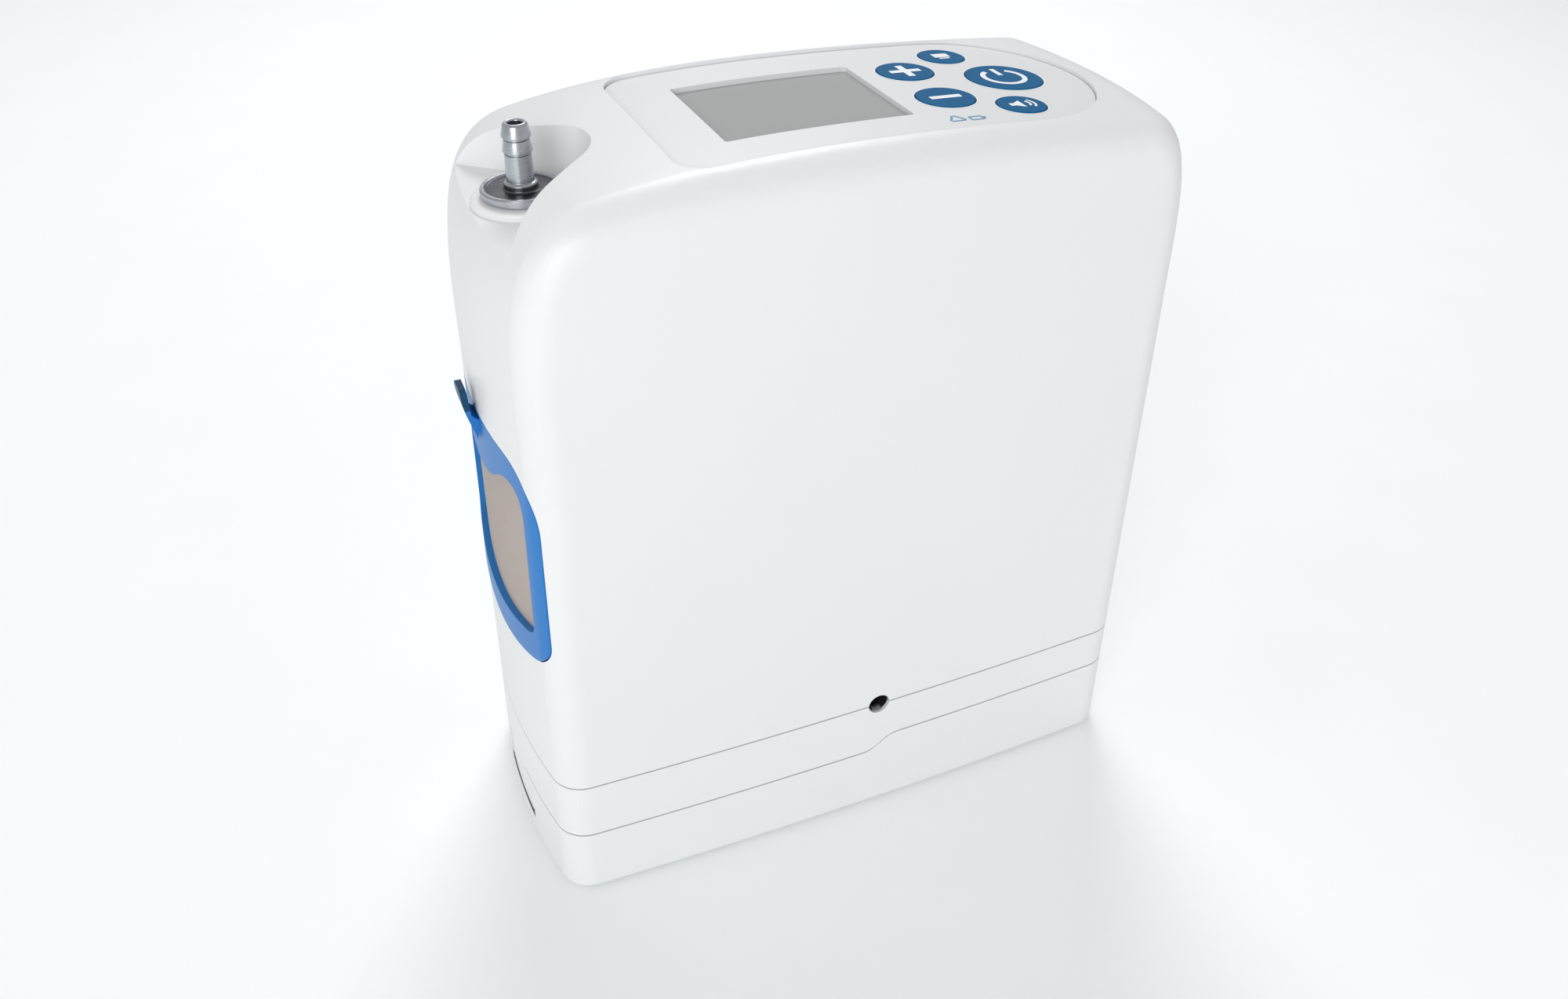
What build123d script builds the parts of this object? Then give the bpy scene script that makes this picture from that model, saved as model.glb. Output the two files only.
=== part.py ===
from build123d import *
import math
import os

os.makedirs("parts", exist_ok=True)

# Oxygen concentrator, millimetres. +X runs along the length, -Y is the front face and +Z is up.
# The origin is under the middle of the case, on the surface that it stands on.

# ---------------------------------------------------------------- casing form
case_length = 182.6
case_depth = 82.8
case_height = 207.0
half_length = case_length / 2
half_depth = case_depth / 2
end_crown = 5.6
face_crown = 2.3
edge_radius = 9.0
bottom_edge = 3.0
foot_proud = 0.4
crest_x = 6.5
left_shoulder_width = 19.8
left_shoulder_height = 59.5
left_shoulder_top = 201.6
left_shoulder_slope = 0.22
left_lean = 1.4
right_shoulder_width = 15.3
right_shoulder_height = 48.9
right_shoulder_top = 204.2
right_shoulder_slope = 0.07
shoulder_fullness = 1.35
wall = 2.4
beyond = 6.0

# ---------------------------------------------------------------- seams
seam_gap = 0.5
upper_seam = 40.7
lower_seam_left = 22.5
lower_seam_right = 27.2
step_start_x = 0.5
step_end_x = 12.0
deck = 2.2

# ---------------------------------------------------------------- control panel
panel_left = -45.0
panel_right = 73.5
panel_half_width = 33.0
panel_round_start = 45.0
panel_corner = 8.0
panel_sink = 0.9
panel_thickness = 1.8
panel_gap = 0.2
ledge = 3.5
screen_x = (-30.5, 17.0)
screen_half_width = 19.3
screen_sink = 1.3
button_gap = 0.25
button_proud = 0.25
button_travel = 0.6
button_flange = 1.2
button_spots = {
    "plus_button": (30.0, 10.7, 7.4),
    "minus_button": (30.0, -10.7, 7.4),
    "power_button": (53.0, 0.0, 10.0),
    "alert_button": (45.8, -20.3, 6.2),
    "light_button": (45.8, 20.3, 6.2),
}

# ---------------------------------------------------------------- outlet scoop and nozzle
nozzle_x = -73.0
scoop_tip_radius = 14.0
scoop_tip_x = -70.5
scoop_flare = 40.0
scoop_floor = 190.4
scoop_boss_radius = 11.8
scoop_boss_height = 1.7
nozzle_flange_radius = 9.4
nozzle_flange = 2.3
nozzle_stem_radius = 2.9
nozzle_barb_radius = 3.4
nozzle_bore_radius = 1.7
nozzle_top = 209.3
nozzle_stub_radius = 4.0
nozzle_stub = 13.0

# ---------------------------------------------------------------- intake filters
filter_half_width = 36.6
filter_low = 76.6
filter_high = 139.0
filter_depth = 4.2
filter_gap = 0.25
filter_wrap = 10.5
filter_mesh_sink = 1.5
filter_mesh = 0.5

# ---------------------------------------------------------------- battery
battery_wall = 2.0
battery_floor = 1.6
cell_radius = 9.0
cell_length = 65.0
cell_pitch = 18.4
rail_y = 24.0
rail_neck = 4.0
rail_head = 8.0
rail_head_low = 30.6
rail_head_high = 32.8
rail_gap = 0.3
rail_x = -64.0
latch_groove = (-88.8, 2.0)
latch_pivot_x = -80.0
latch_pivot_z = 17.0
latch_half_width = 13.6
latch_low = 8.6

# ---------------------------------------------------------------- power inlet
jack_x = 5.1
jack_bore_radius = 2.85
jack_depth = 9.5

# ---------------------------------------------------------------- inside
chassis_floor_z = 43.0
pump_x = -8.0
pump_z = 73.0
pump_face_y = -31.0
crank_throw = 2.8
crank_pin_radius = 3.0
shaft_radius = 2.5
ring_bore = 8.9
column_x = 63.0
column_y = 17.6
column_radius = 16.4
column_low = 48.0
column_high = 164.0
tank_y = 8.5
tank_z = 126.0
tank_radius = 15.0
fan_x = (-79.0, -69.0)
fan_z = 105.0
board_y = 31.0


def finish(piece, name):
    """Label a finished piece and write it."""
    piece.part.label = name
    export_step(piece.part, f"parts/{name}.step")


def long_section(y, inset, low):
    """Outline of the case across its length at depth y, drawn in by inset."""
    reach = half_length - inset - end_crown * (y / half_depth) ** 2
    left_x = left_shoulder_width - reach
    left_top = left_shoulder_top - inset
    right_x = reach - right_shoulder_width
    right_top = right_shoulder_top - inset
    left_low = left_shoulder_top - left_shoulder_height
    right_low = right_shoulder_top - right_shoulder_height
    left_slope = (-1, -left_shoulder_slope)
    right_slope = (-1, right_shoulder_slope)
    with BuildSketch(Plane.XZ.offset(-y)) as section:
        with BuildLine():
            Line((-reach, low), (reach, low))
            Line((reach, low), (reach, right_low))
            Spline((reach, right_low), (right_x, right_top), tangents=[(0, 1), right_slope],
                   tangent_scalars=[shoulder_fullness, 1.0])
            Spline((right_x, right_top), (crest_x, case_height - inset), (left_x, left_top),
                   tangents=[right_slope, left_slope])
            Spline((left_x, left_top), (left_lean - reach, left_low), tangents=[left_slope, (0, -1)],
                   tangent_scalars=[1.0, shoulder_fullness])
            Line((left_lean - reach, left_low), (-reach, low))
        make_face()
    return section.sketch.faces()[0]


def casing_form(inset, low=-beyond):
    """The whole outer form drawn in by inset, from the height low up to its arched top."""
    outer_y = half_depth + 1
    face_y = half_depth - inset
    with BuildPart() as form:
        loft([long_section(y, inset, low) for y in (-outer_y, 0, outer_y)])
        with BuildSketch(Plane.XY.offset(low - 1)):
            with BuildLine():
                ThreePointArc((-half_length, face_crown - face_y), (0, -face_y), (half_length, face_crown - face_y))
                Line((half_length, face_crown - face_y), (half_length, face_y - face_crown))
                ThreePointArc((half_length, face_y - face_crown), (0, face_y), (-half_length, face_y - face_crown))
                Line((-half_length, face_y - face_crown), (-half_length, face_crown - face_y))
            make_face()
        extrude(amount=case_height + 4 * beyond, mode=Mode.INTERSECT)
        faces = form.faces().filter_by(GeomType.CYLINDER)
        fillet([e for e in faces.edges() if e.center().Z > low + 1], edge_radius - inset)
    return form.part


def under_seam(rise, low=-beyond):
    """All of the space under the stepped lower seam, raised by rise."""
    left = lower_seam_left + rise
    right = lower_seam_right + rise
    with BuildPart() as space:
        with BuildSketch(Plane.XZ.offset(-half_depth - beyond)):
            with BuildLine():
                Polyline((-half_length - beyond, left), (-half_length - beyond, low),
                         (half_length + beyond, low), (half_length + beyond, right), (step_end_x, right))
                Spline((step_end_x, right), (step_start_x, left), tangents=[(-1, 0), (-1, 0)])
                Line((step_start_x, left), (-half_length - beyond, left))
            make_face()
        extrude(amount=2 * (half_depth + beyond))
    return space.part


def panel_outline(grow, z):
    """Control panel outline: straight left end, half-elliptical right end."""
    left = panel_left - grow
    half_width = panel_half_width + grow
    corner = panel_corner + grow
    with BuildSketch(Plane.XY.offset(z)) as outline:
        with BuildLine():
            Line((panel_round_start, half_width), (left + corner, half_width))
            TangentArc((left + corner, half_width), (left, half_width - corner), tangent=(-1, 0))
            Line((left, half_width - corner), (left, corner - half_width))
            TangentArc((left, corner - half_width), (left + corner, -half_width), tangent=(0, -1))
            Line((left + corner, -half_width), (panel_round_start, -half_width))
            EllipticalCenterArc((panel_round_start, 0), panel_right + grow - panel_round_start, half_width,
                                start_angle=-90, arc_size=180)
        make_face()
    return outline.sketch


def scoop_outline(grow, z):
    """Outlet scoop outline: a round tip that flares out through the left end."""
    radius = scoop_tip_radius + grow
    flare = math.radians(scoop_flare)
    touch_x = scoop_tip_x + radius * math.sin(flare)
    touch_y = radius * math.cos(flare)
    out_x = -half_length - beyond
    out_y = touch_y + (touch_x - out_x) * math.tan(flare)
    with BuildSketch(Plane.XY.offset(z)) as outline:
        with BuildLine():
            Line((out_x, -out_y), (touch_x, -touch_y))
            ThreePointArc((touch_x, -touch_y), (scoop_tip_x + radius, 0), (touch_x, touch_y))
            Line((touch_x, touch_y), (out_x, out_y))
            Line((out_x, out_y), (out_x, -out_y))
        make_face()
    return outline.sketch


def filter_outline(grow):
    """Intake filter outline on the end wall: rounded shoulders and a gently bowed foot."""
    w = filter_half_width + grow
    low = filter_low - grow
    high = filter_high + grow
    with BuildSketch(Plane.YZ) as outline:
        with BuildLine():
            Line((-w + 15, high), (w - 15, high))
            Spline((w - 15, high), (w, high - 17), tangents=[(1, 0), (0, -1)])
            Line((w, high - 17), (w, low + 13))
            Spline((w, low + 13), (w - 9, low + 4), tangents=[(0, -1), (-1, -0.3)])
            Spline((w - 9, low + 4), (0, low), (9 - w, low + 4), tangents=[(-1, -0.3), (-1, 0.3)])
            Spline((9 - w, low + 4), (-w, low + 13), tangents=[(-1, 0.3), (0, 1)])
            Line((-w, low + 13), (-w, high - 17))
            Spline((-w, high - 17), (-w + 15, high), tangents=[(0, 1), (1, 0)])
        make_face()
    return outline.sketch


def filter_window(grow=0.0):
    """Mesh opening inside the filter frame; its top edge dips under the pull tab."""
    w = filter_half_width - 5.2 + grow
    low = filter_low + 8.0 - grow
    high = filter_high - 7.0 + grow
    dip = filter_high - 15.0 + grow
    with BuildSketch(Plane.YZ) as outline:
        with BuildLine():
            Spline((-25, high), (-13, dip + 3.2), (0, dip), (13, dip + 3.2), (25, high), tangents=[(1, 0), (1, 0)])
            Spline((25, high), (w, high - 11), tangents=[(1, 0), (0, -1)])
            Line((w, high - 11), (w, low + 9))
            Spline((w, low + 9), (w - 8, low + 3), tangents=[(0, -1), (-1, -0.25)])
            Spline((w - 8, low + 3), (0, low), (8 - w, low + 3), tangents=[(-1, -0.25), (-1, 0.25)])
            Spline((8 - w, low + 3), (-w, low + 9), tangents=[(-1, 0.25), (0, 1)])
            Line((-w, low + 9), (-w, high - 11))
            Spline((-w, high - 11), (-25, high), tangents=[(0, 1), (1, 0)])
        make_face()
    return outline.sketch


outer = casing_form(0, foot_proud)
inner = casing_form(wall)
panel_top_skin = casing_form(panel_sink)
panel_under_skin = casing_form(panel_sink + panel_thickness)

# ================================================================ main housing
bed_depth = panel_sink + panel_thickness + 2.2
with BuildPart() as panel_bed:
    extrude(panel_outline(ledge, 180), amount=40)
    add(outer, mode=Mode.INTERSECT)
    add(casing_form(bed_depth), mode=Mode.SUBTRACT)

with BuildPart() as scoop_walls:
    extrude(scoop_outline(wall, scoop_floor - wall), amount=40)
    add(outer, mode=Mode.INTERSECT)

filter_bed_skin = casing_form(filter_depth + 2.2)
filter_pocket_skin = casing_form(filter_depth + filter_gap)
filter_beds = []
for side in (-1, 1):
    with BuildPart() as filter_bed:
        extrude(filter_outline(2.0), amount=side * (half_length + beyond))
        add(outer, mode=Mode.INTERSECT)
        add(filter_bed_skin, mode=Mode.SUBTRACT)
        with Locations((0, 0, filter_low + 30)):
            Box(2 * (half_length - filter_wrap - 3), case_depth, case_height, mode=Mode.SUBTRACT)
    filter_beds.append(filter_bed.part)

filter_pockets = []
for side in (-1, 1):
    with BuildPart() as filter_pocket:
        extrude(filter_outline(filter_gap), amount=side * (half_length + beyond))
        add(filter_pocket_skin, mode=Mode.SUBTRACT)
        with Locations((0, 0, filter_low + 30)):
            Box(2 * (half_length - filter_wrap - 0.5), case_depth, case_height, mode=Mode.SUBTRACT)
    filter_pockets.append(filter_pocket.part)

with BuildPart() as panel_pocket:
    extrude(panel_outline(panel_gap, 180), amount=40)
    add(panel_under_skin, mode=Mode.SUBTRACT)

boss_places = [(x, y) for x in (-80.5, 80.5) for y in (-32.0, 32.0)]
boss_radius = 5.0
boss_bore = 1.5
boss_top = 62.0
with BuildPart() as main_housing:
    add(outer)
    split(bisect_by=Plane.XY.offset(upper_seam + seam_gap / 2), keep=Keep.TOP)
    add(inner, mode=Mode.SUBTRACT)
    add([panel_bed.part, scoop_walls.part, *filter_beds])
    with BuildSketch(Plane.XY.offset(upper_seam + seam_gap / 2)) as boss_rings:
        with Locations(boss_places):
            Circle(boss_radius)
    extrude(amount=boss_top - upper_seam)
    add(outer, mode=Mode.INTERSECT)
    # pockets for the filters, with their air slots
    add(filter_pockets, mode=Mode.SUBTRACT)
    with Locations(*[(x, y, filter_low + 29) for x in (-half_length + 6, half_length - 6)
                     for y in range(-27, 28, 6)]):
        Box(14, 4.0, 40, mode=Mode.SUBTRACT)
    # pocket for the control panel and the window under it
    add(panel_pocket.part, mode=Mode.SUBTRACT)
    extrude(panel_outline(-ledge, 180), amount=40, mode=Mode.SUBTRACT)
    # the scoop around the outlet nozzle, its raised boss and its bore
    extrude(scoop_outline(0, scoop_floor), amount=40, mode=Mode.SUBTRACT)
    with Locations((nozzle_x, 0, scoop_floor + scoop_boss_height / 2 - 1)):
        Cylinder(scoop_boss_radius, scoop_boss_height + 2)
    fillet(main_housing.faces().filter_by(GeomType.PLANE).filter_by(Axis.Z)
           .filter_by_position(Axis.Z, scoop_floor + 1, 195).edges(), 0.9)
    with Locations((nozzle_x, 0, scoop_floor)):
        Cylinder(nozzle_stub_radius + 0.1, 10, mode=Mode.SUBTRACT)
    # screw bores and the half of the power inlet hole above the seam
    with Locations(*[(x, y, upper_seam + 9) for x, y in boss_places]):
        Cylinder(boss_bore, 18, mode=Mode.SUBTRACT)
    with BuildSketch(Plane.XZ.offset(half_depth - 8)):
        with Locations((jack_x, upper_seam)):
            Circle(jack_bore_radius + 0.35)
    extrude(amount=12, mode=Mode.SUBTRACT)
finish(main_housing, "main_housing")

# ================================================================ control panel group
button_top_skin = casing_form(panel_sink - button_proud)
flange_skin = casing_form(panel_sink + panel_thickness + 0.1)
flange_under_skin = casing_form(panel_sink + panel_thickness + 0.1 + button_flange)
screen_skin = casing_form(panel_sink + screen_sink)
screen_under_skin = casing_form(panel_sink + screen_sink + 1.2)
screen_middle = (screen_x[0] + screen_x[1]) / 2
screen_length = screen_x[1] - screen_x[0]

with BuildPart() as control_panel:
    extrude(panel_outline(0, 180), amount=40)
    add(panel_top_skin, mode=Mode.INTERSECT)
    add(panel_under_skin, mode=Mode.SUBTRACT)
    with BuildSketch(Plane.XY.offset(180)):
        for x, y, radius in button_spots.values():
            with Locations((x, y)):
                Circle(radius + button_gap)
        with Locations((screen_middle, 0)):
            RectangleRounded(screen_length, 2 * screen_half_width, 0.8)
    extrude(amount=40, mode=Mode.SUBTRACT)
finish(control_panel, "control_panel")

with BuildPart() as lcd_window:
    with BuildSketch(Plane.XY.offset(180)):
        with Locations((screen_middle, 0)):
            RectangleRounded(screen_length - 0.1, 2 * screen_half_width - 0.1, 0.7)
    extrude(amount=40)
    add(screen_skin, mode=Mode.INTERSECT)
    add(screen_under_skin, mode=Mode.SUBTRACT)
finish(lcd_window, "lcd_window")

for name, (x, y, radius) in button_spots.items():
    with BuildPart() as cap:
        with BuildSketch(Plane.XY.offset(180)):
            with Locations((x, y)):
                Circle(radius)
        extrude(amount=40)
        add(button_top_skin, mode=Mode.INTERSECT)
        fillet(cap.edges().group_by(Axis.Z)[-1], 0.3)
        add(flange_skin, mode=Mode.SUBTRACT)
    with BuildPart() as button:
        with BuildSketch(Plane.XY.offset(180)):
            with Locations((x, y)):
                Circle(radius + 0.9)
        extrude(amount=40)
        add(flange_skin, mode=Mode.INTERSECT)
        add(flange_under_skin, mode=Mode.SUBTRACT)
        add(cap.part)
    finish(button, name)

keypad_z = 197.4
with BuildPart() as keypad_membrane:
    with BuildSketch(Plane.XY.offset(keypad_z)):
        with Locations((42.0, 0)):
            RectangleRounded(44.0, 58.0, 4.0)
    extrude(amount=1.0)
    with BuildSketch(Plane.XY.offset(keypad_z + 1.0)):
        for x, y, radius in button_spots.values():
            with Locations((x, y)):
                Circle(radius - 1.5)
    extrude(amount=1.8, taper=12)
finish(keypad_membrane, "keypad_membrane")

with BuildPart() as ui_board:
    with BuildSketch(Plane.XY.offset(keypad_z - 1.6)):
        with Locations((14.0, 0)):
            RectangleRounded(102.0, 60.0, 3.0)
    extrude(amount=1.6)
finish(ui_board, "ui_board")

with BuildPart() as lcd_module:
    with Locations((screen_middle, 0, keypad_z + 1.9)):
        Box(screen_length + 1.0, 2 * screen_half_width + 2.0, 3.8)
    with Locations((screen_middle, 0, keypad_z + 3.5)):
        Box(screen_length - 3.0, 2 * screen_half_width - 3.0, 1.0, mode=Mode.SUBTRACT)
finish(lcd_module, "lcd_module")

with BuildPart() as buzzer:
    with Locations((-36.5, 0, keypad_z + 1.2)):
        Cylinder(4.5, 2.4)
        Cylinder(1.0, 2.4, mode=Mode.SUBTRACT)
finish(buzzer, "buzzer")

# ================================================================ outlet
flange_low = scoop_floor + scoop_boss_height
flange_high = flange_low + nozzle_flange
stem_low = flange_high + 1.4
barb_pitch = 4.3
with BuildPart() as outlet_nozzle:
    with BuildSketch(Plane.XZ):
        with BuildLine():
            Polyline((0, flange_low - nozzle_stub), (nozzle_stub_radius, flange_low - nozzle_stub),
                     (nozzle_stub_radius, flange_low), (nozzle_flange_radius, flange_low),
                     (nozzle_flange_radius, flange_high - 0.9), (nozzle_flange_radius - 0.9, flange_high),
                     (nozzle_flange_radius - 1.6, flange_high), (nozzle_flange_radius - 1.6, flange_high - 0.5),
                     (4.3, flange_high - 0.5), (4.3, stem_low), (nozzle_stem_radius, stem_low))
            Polyline((nozzle_stem_radius, stem_low), (nozzle_stem_radius, nozzle_top - 2 * barb_pitch),
                     (nozzle_barb_radius, nozzle_top - 2 * barb_pitch + 0.6),
                     (nozzle_stem_radius, nozzle_top - barb_pitch - 0.6),
                     (nozzle_stem_radius, nozzle_top - barb_pitch),
                     (nozzle_barb_radius, nozzle_top - barb_pitch + 0.6),
                     (nozzle_stem_radius, nozzle_top - 1.6), (nozzle_stem_radius, nozzle_top), (0, nozzle_top),
                     (0, flange_low - nozzle_stub))
        make_face()
    revolve(axis=Axis.Z)
    fillet(outlet_nozzle.edges().group_by(Axis.Z)[-1], 0.5)
    with Locations((0, 0, (flange_low + nozzle_top) / 2)):
        Cylinder(nozzle_bore_radius, 60, mode=Mode.SUBTRACT)
    with Locations((0, 6.1, flange_high), (0, -6.1, flange_high)):
        Box(4.2, 2.0, 2.4, mode=Mode.SUBTRACT)
outlet_nozzle.part.position = (nozzle_x, 0, 0)
finish(outlet_nozzle, "outlet_nozzle")

seal_z = scoop_floor - wall - 1.1
with BuildPart() as nozzle_seal:
    with BuildSketch(Plane.XY.offset(seal_z - 1.0)):
        with Locations((nozzle_x, 0)):
            Circle(6.6)
            Circle(nozzle_stub_radius, mode=Mode.SUBTRACT)
    extrude(amount=2.0)
finish(nozzle_seal, "nozzle_seal")

output_filter_low = flange_low - nozzle_stub - 9.0
with BuildPart() as output_filter:
    with BuildSketch(Plane.XZ):
        with BuildLine():
            Polyline((2.0, output_filter_low), (4.0, output_filter_low), (7.5, output_filter_low + 3),
                     (7.5, output_filter_low + 7), (5.0, output_filter_low + 9), (2.0, output_filter_low + 9),
                     (2.0, output_filter_low))
        make_face()
    revolve(axis=Axis.Z)
output_filter.part.position = (nozzle_x, 0, 0)
finish(output_filter, "output_filter")


def hose(points, radius, bore, bend):
    """A hose through the given points, with equal bends."""
    with BuildPart() as tube:
        with BuildLine() as path:
            FilletPolyline(*points, radius=bend)
        with BuildSketch(Plane(path.line @ 0, z_dir=path.line % 0)):
            Circle(radius)
            Circle(bore, mode=Mode.SUBTRACT)
        sweep()
    return tube


outlet_hose = hose([(nozzle_x, 0, output_filter_low), (nozzle_x, 0, 148), (-61, tank_y, 140),
                    (-61, tank_y, tank_z), (-56, tank_y, tank_z)], 3.0, 1.8, 3.6)
finish(outlet_hose, "outlet_hose")

# ================================================================ intake filters
filter_face_skin = casing_form(0.05, filter_low - 20)
filter_back_skin = casing_form(filter_depth)
mesh_face_skin = casing_form(filter_mesh_sink)
mesh_back_skin = casing_form(filter_mesh_sink + filter_mesh)
tab_half_width = 3.8
tab_top = 146.0
tab_root = 132.0
tab_proud = 2.3
for side, name in ((-1, "left"), (1, "right")):
    with BuildPart() as frame:
        extrude(filter_outline(0), amount=side * (half_length + beyond))
        add(filter_face_skin, mode=Mode.INTERSECT)
        add(filter_back_skin, mode=Mode.SUBTRACT)
        with Locations((0, 0, filter_low + 30)):
            Box(2 * (half_length - filter_wrap), case_depth, case_height, mode=Mode.SUBTRACT)
        extrude(filter_window(), amount=side * (half_length + beyond), mode=Mode.SUBTRACT)
        # pull tab: a thin tongue that stands clear of the housing
        with BuildSketch(Plane.XZ.offset(-tab_half_width)):
            with BuildLine():
                Spline((side * (half_length - 0.6), tab_root), (side * (half_length + 1.6), filter_high + 1),
                       (side * (half_length + tab_proud), tab_top), tangents=[(side * 0.2, 1), (0, 1)])
                Polyline((side * (half_length + tab_proud), tab_top), (side * (half_length + 0.7), tab_top),
                         (side * (half_length + 0.3), filter_high + 1), (side * (half_length + 0.3), filter_high),
                         (side * (half_length - 2.0), filter_high - 2), (side * (half_length - 0.6), tab_root))
            make_face()
        extrude(amount=2 * tab_half_width)
        fillet(frame.edges().filter_by(Axis.X).sort_by(Axis.Z)[-2:], 1.6)
    finish(frame, f"{name}_filter_frame")
    with BuildPart() as mesh:
        extrude(filter_window(), amount=side * (half_length + beyond))
        add(mesh_face_skin, mode=Mode.INTERSECT)
        add(mesh_back_skin, mode=Mode.SUBTRACT)
        with Locations((0, 0, filter_low + 30)):
            Box(2 * (half_length - filter_wrap), case_depth, case_height, mode=Mode.SUBTRACT)
    finish(mesh, f"{name}_filter_mesh")

# ================================================================ base band
chassis_posts = [(-56.0, -12.0), (-56.0, 12.0), (38.0, -12.0), (38.0, 12.0)]
with BuildPart() as band_cavity:
    add(inner)
    add(under_seam(seam_gap + deck), mode=Mode.SUBTRACT)
    with Locations((0, -rail_y, 0), (0, rail_y, 0)):
        Box(2 * half_length, 13.0, 2 * (rail_head_high + rail_gap + 1.4), mode=Mode.SUBTRACT)

with BuildPart() as base_band:
    add(outer)
    split(bisect_by=Plane.XY.offset(upper_seam - seam_gap / 2), keep=Keep.BOTTOM)
    add(band_cavity.part, mode=Mode.SUBTRACT)
    with BuildSketch(Plane.XY.offset(lower_seam_left + seam_gap + deck - 0.5)):
        with Locations(chassis_posts):
            Circle(4.5)
    extrude(amount=chassis_floor_z - lower_seam_left - seam_gap - deck + 0.5)
    add(under_seam(seam_gap), mode=Mode.SUBTRACT)
    with BuildSketch(Plane.XY.offset(lower_seam_right + seam_gap)):
        with Locations(boss_places):
            Circle(boss_radius)
    extrude(amount=upper_seam - seam_gap / 2 - lower_seam_right - seam_gap)
    add(outer, mode=Mode.INTERSECT)
    # rail channels, open at the right end
    channel_low = rail_x - 1.5
    with BuildSketch(Plane.YZ.offset(channel_low)):
        for y in (-rail_y, rail_y):
            with Locations((y, (lower_seam_left + rail_head_high) / 2)):
                Rectangle(rail_neck + 2 * rail_gap, rail_head_high - lower_seam_left)
            with Locations((y, (rail_head_low + rail_head_high) / 2)):
                Rectangle(rail_head + 2 * rail_gap, rail_head_high - rail_head_low + 2 * rail_gap)
    extrude(amount=half_length + beyond - channel_low, mode=Mode.SUBTRACT)
    # screw bores, contact slot, latch pocket and the lower half of the power inlet hole
    with Locations(*[(x, y, 30) for x, y in boss_places + chassis_posts]):
        Cylinder(1.7, 40, mode=Mode.SUBTRACT)
    with Locations((0.5, 0, 25.4)):
        Box(25.0, 23.0, 1.6, mode=Mode.SUBTRACT)
    with Locations(((latch_groove[0] + latch_groove[1]) / 2, 0, lower_seam_left + seam_gap)):
        Box(latch_groove[1] - latch_groove[0], 13.0, 2.0, mode=Mode.SUBTRACT)
    with BuildSketch(Plane.XZ.offset(half_depth - 8)):
        with Locations((jack_x, upper_seam)):
            Circle(jack_bore_radius + 0.35)
    extrude(amount=12, mode=Mode.SUBTRACT)
finish(base_band, "base_band")

screw_length = 16.0
with BuildPart() as base_screws:
    for x, y in boss_places:
        with Locations((x, y, 33.0 + screw_length / 2)):
            Cylinder(1.4, screw_length)
    for x, y in chassis_posts:
        with Locations((x, y, 32.0 + screw_length / 2)):
            Cylinder(1.4, screw_length)
finish(base_screws, "base_screws")

# ================================================================ power inlet
jack_face_y = -half_depth + wall + 0.3
with BuildPart() as dc_jack:
    with Locations((jack_x, jack_face_y + 6.5, upper_seam)):
        Box(11.0, 13.0, 11.0)
    with BuildSketch(Plane.XZ.offset(-jack_face_y - 1)):
        with Locations((jack_x, upper_seam)):
            Circle(jack_bore_radius + 0.3)
    extrude(amount=2.6)
    with BuildSketch(Plane.XZ.offset(-jack_face_y - jack_depth)):
        with Locations((jack_x, upper_seam)):
            Circle(jack_bore_radius)
    extrude(amount=20, mode=Mode.SUBTRACT)
finish(dc_jack, "dc_jack")

with BuildPart() as dc_pin:
    with BuildSketch(Plane.XZ.offset(-jack_face_y - jack_depth)):
        with Locations((jack_x, upper_seam)):
            Circle(1.0)
    extrude(amount=jack_depth - 0.5)
    fillet(dc_pin.edges().sort_by(Axis.Y)[0], 0.4)
finish(dc_pin, "dc_pin")

# ================================================================ battery
battery_inner = casing_form(battery_wall)
rail_end_skin = casing_form(0.2)
with BuildPart() as lid_region:
    add(casing_form(battery_wall + 0.1))
    add(under_seam(0), mode=Mode.INTERSECT)
    add(under_seam(-2.0), mode=Mode.SUBTRACT)

with BuildPart() as battery_hollow:
    add(battery_inner)
    split(bisect_by=Plane.XY.offset(foot_proud + battery_floor), keep=Keep.TOP)

latch_arch_top = lower_seam_left + 0.4


def latch_arch(grow):
    """Arched thumb button outline on the left end wall."""
    w = latch_half_width + grow
    low = latch_low - grow
    with BuildSketch(Plane.YZ) as outline:
        with BuildLine():
            Line((-w, low + 2), (-w + 2, low))
            Line((-w + 2, low), (w - 2, low))
            Line((w - 2, low), (w, low + 2))
            Spline((w, low + 2), (0, latch_arch_top + grow), (-w, low + 2), tangents=[(0, 1), (0, -1)])
        make_face()
    return outline.sketch


with BuildPart() as latch_opening:
    extrude(latch_arch(0.35), amount=-half_length - beyond)
    with Locations((0, 0, 0)):
        Box(2 * half_length - 12, case_depth, case_height, mode=Mode.SUBTRACT)

latch_sweep_radius = 14.2
with BuildPart() as latch_sweep:
    with Locations((latch_pivot_x, 0, latch_pivot_z)):
        Cylinder(latch_sweep_radius, 2 * latch_half_width + 0.7, rotation=(90, 0, 0))
    split(bisect_by=Plane.XY.offset(latch_low + 1.7), keep=Keep.BOTTOM)

foot_places = [(x, y) for x in (-66.0, 66.0) for y in (-26.0, 26.0)]
with BuildPart() as battery_case:
    add(outer)
    fillet(battery_case.faces().sort_by(Axis.Z)[0].edges(), bottom_edge)
    add(under_seam(0), mode=Mode.INTERSECT)
    add(battery_hollow.part, mode=Mode.SUBTRACT)
    with Locations(*[(latch_pivot_x, y, foot_proud + 10.0) for y in (-16.5, 16.5)]):
        Box(7.0, 3.0, 19.2)
    with Locations((latch_pivot_x, 0, latch_pivot_z)):
        Cylinder(1.25, 40, rotation=(90, 0, 0), mode=Mode.SUBTRACT)
    add(latch_opening.part, mode=Mode.SUBTRACT)
    add(latch_sweep.part, mode=Mode.SUBTRACT)
    with Locations(*[(x, y, foot_proud) for x, y in foot_places]):
        Cylinder(5.1, 1.2, mode=Mode.SUBTRACT)
finish(battery_case, "battery_case")

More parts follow.
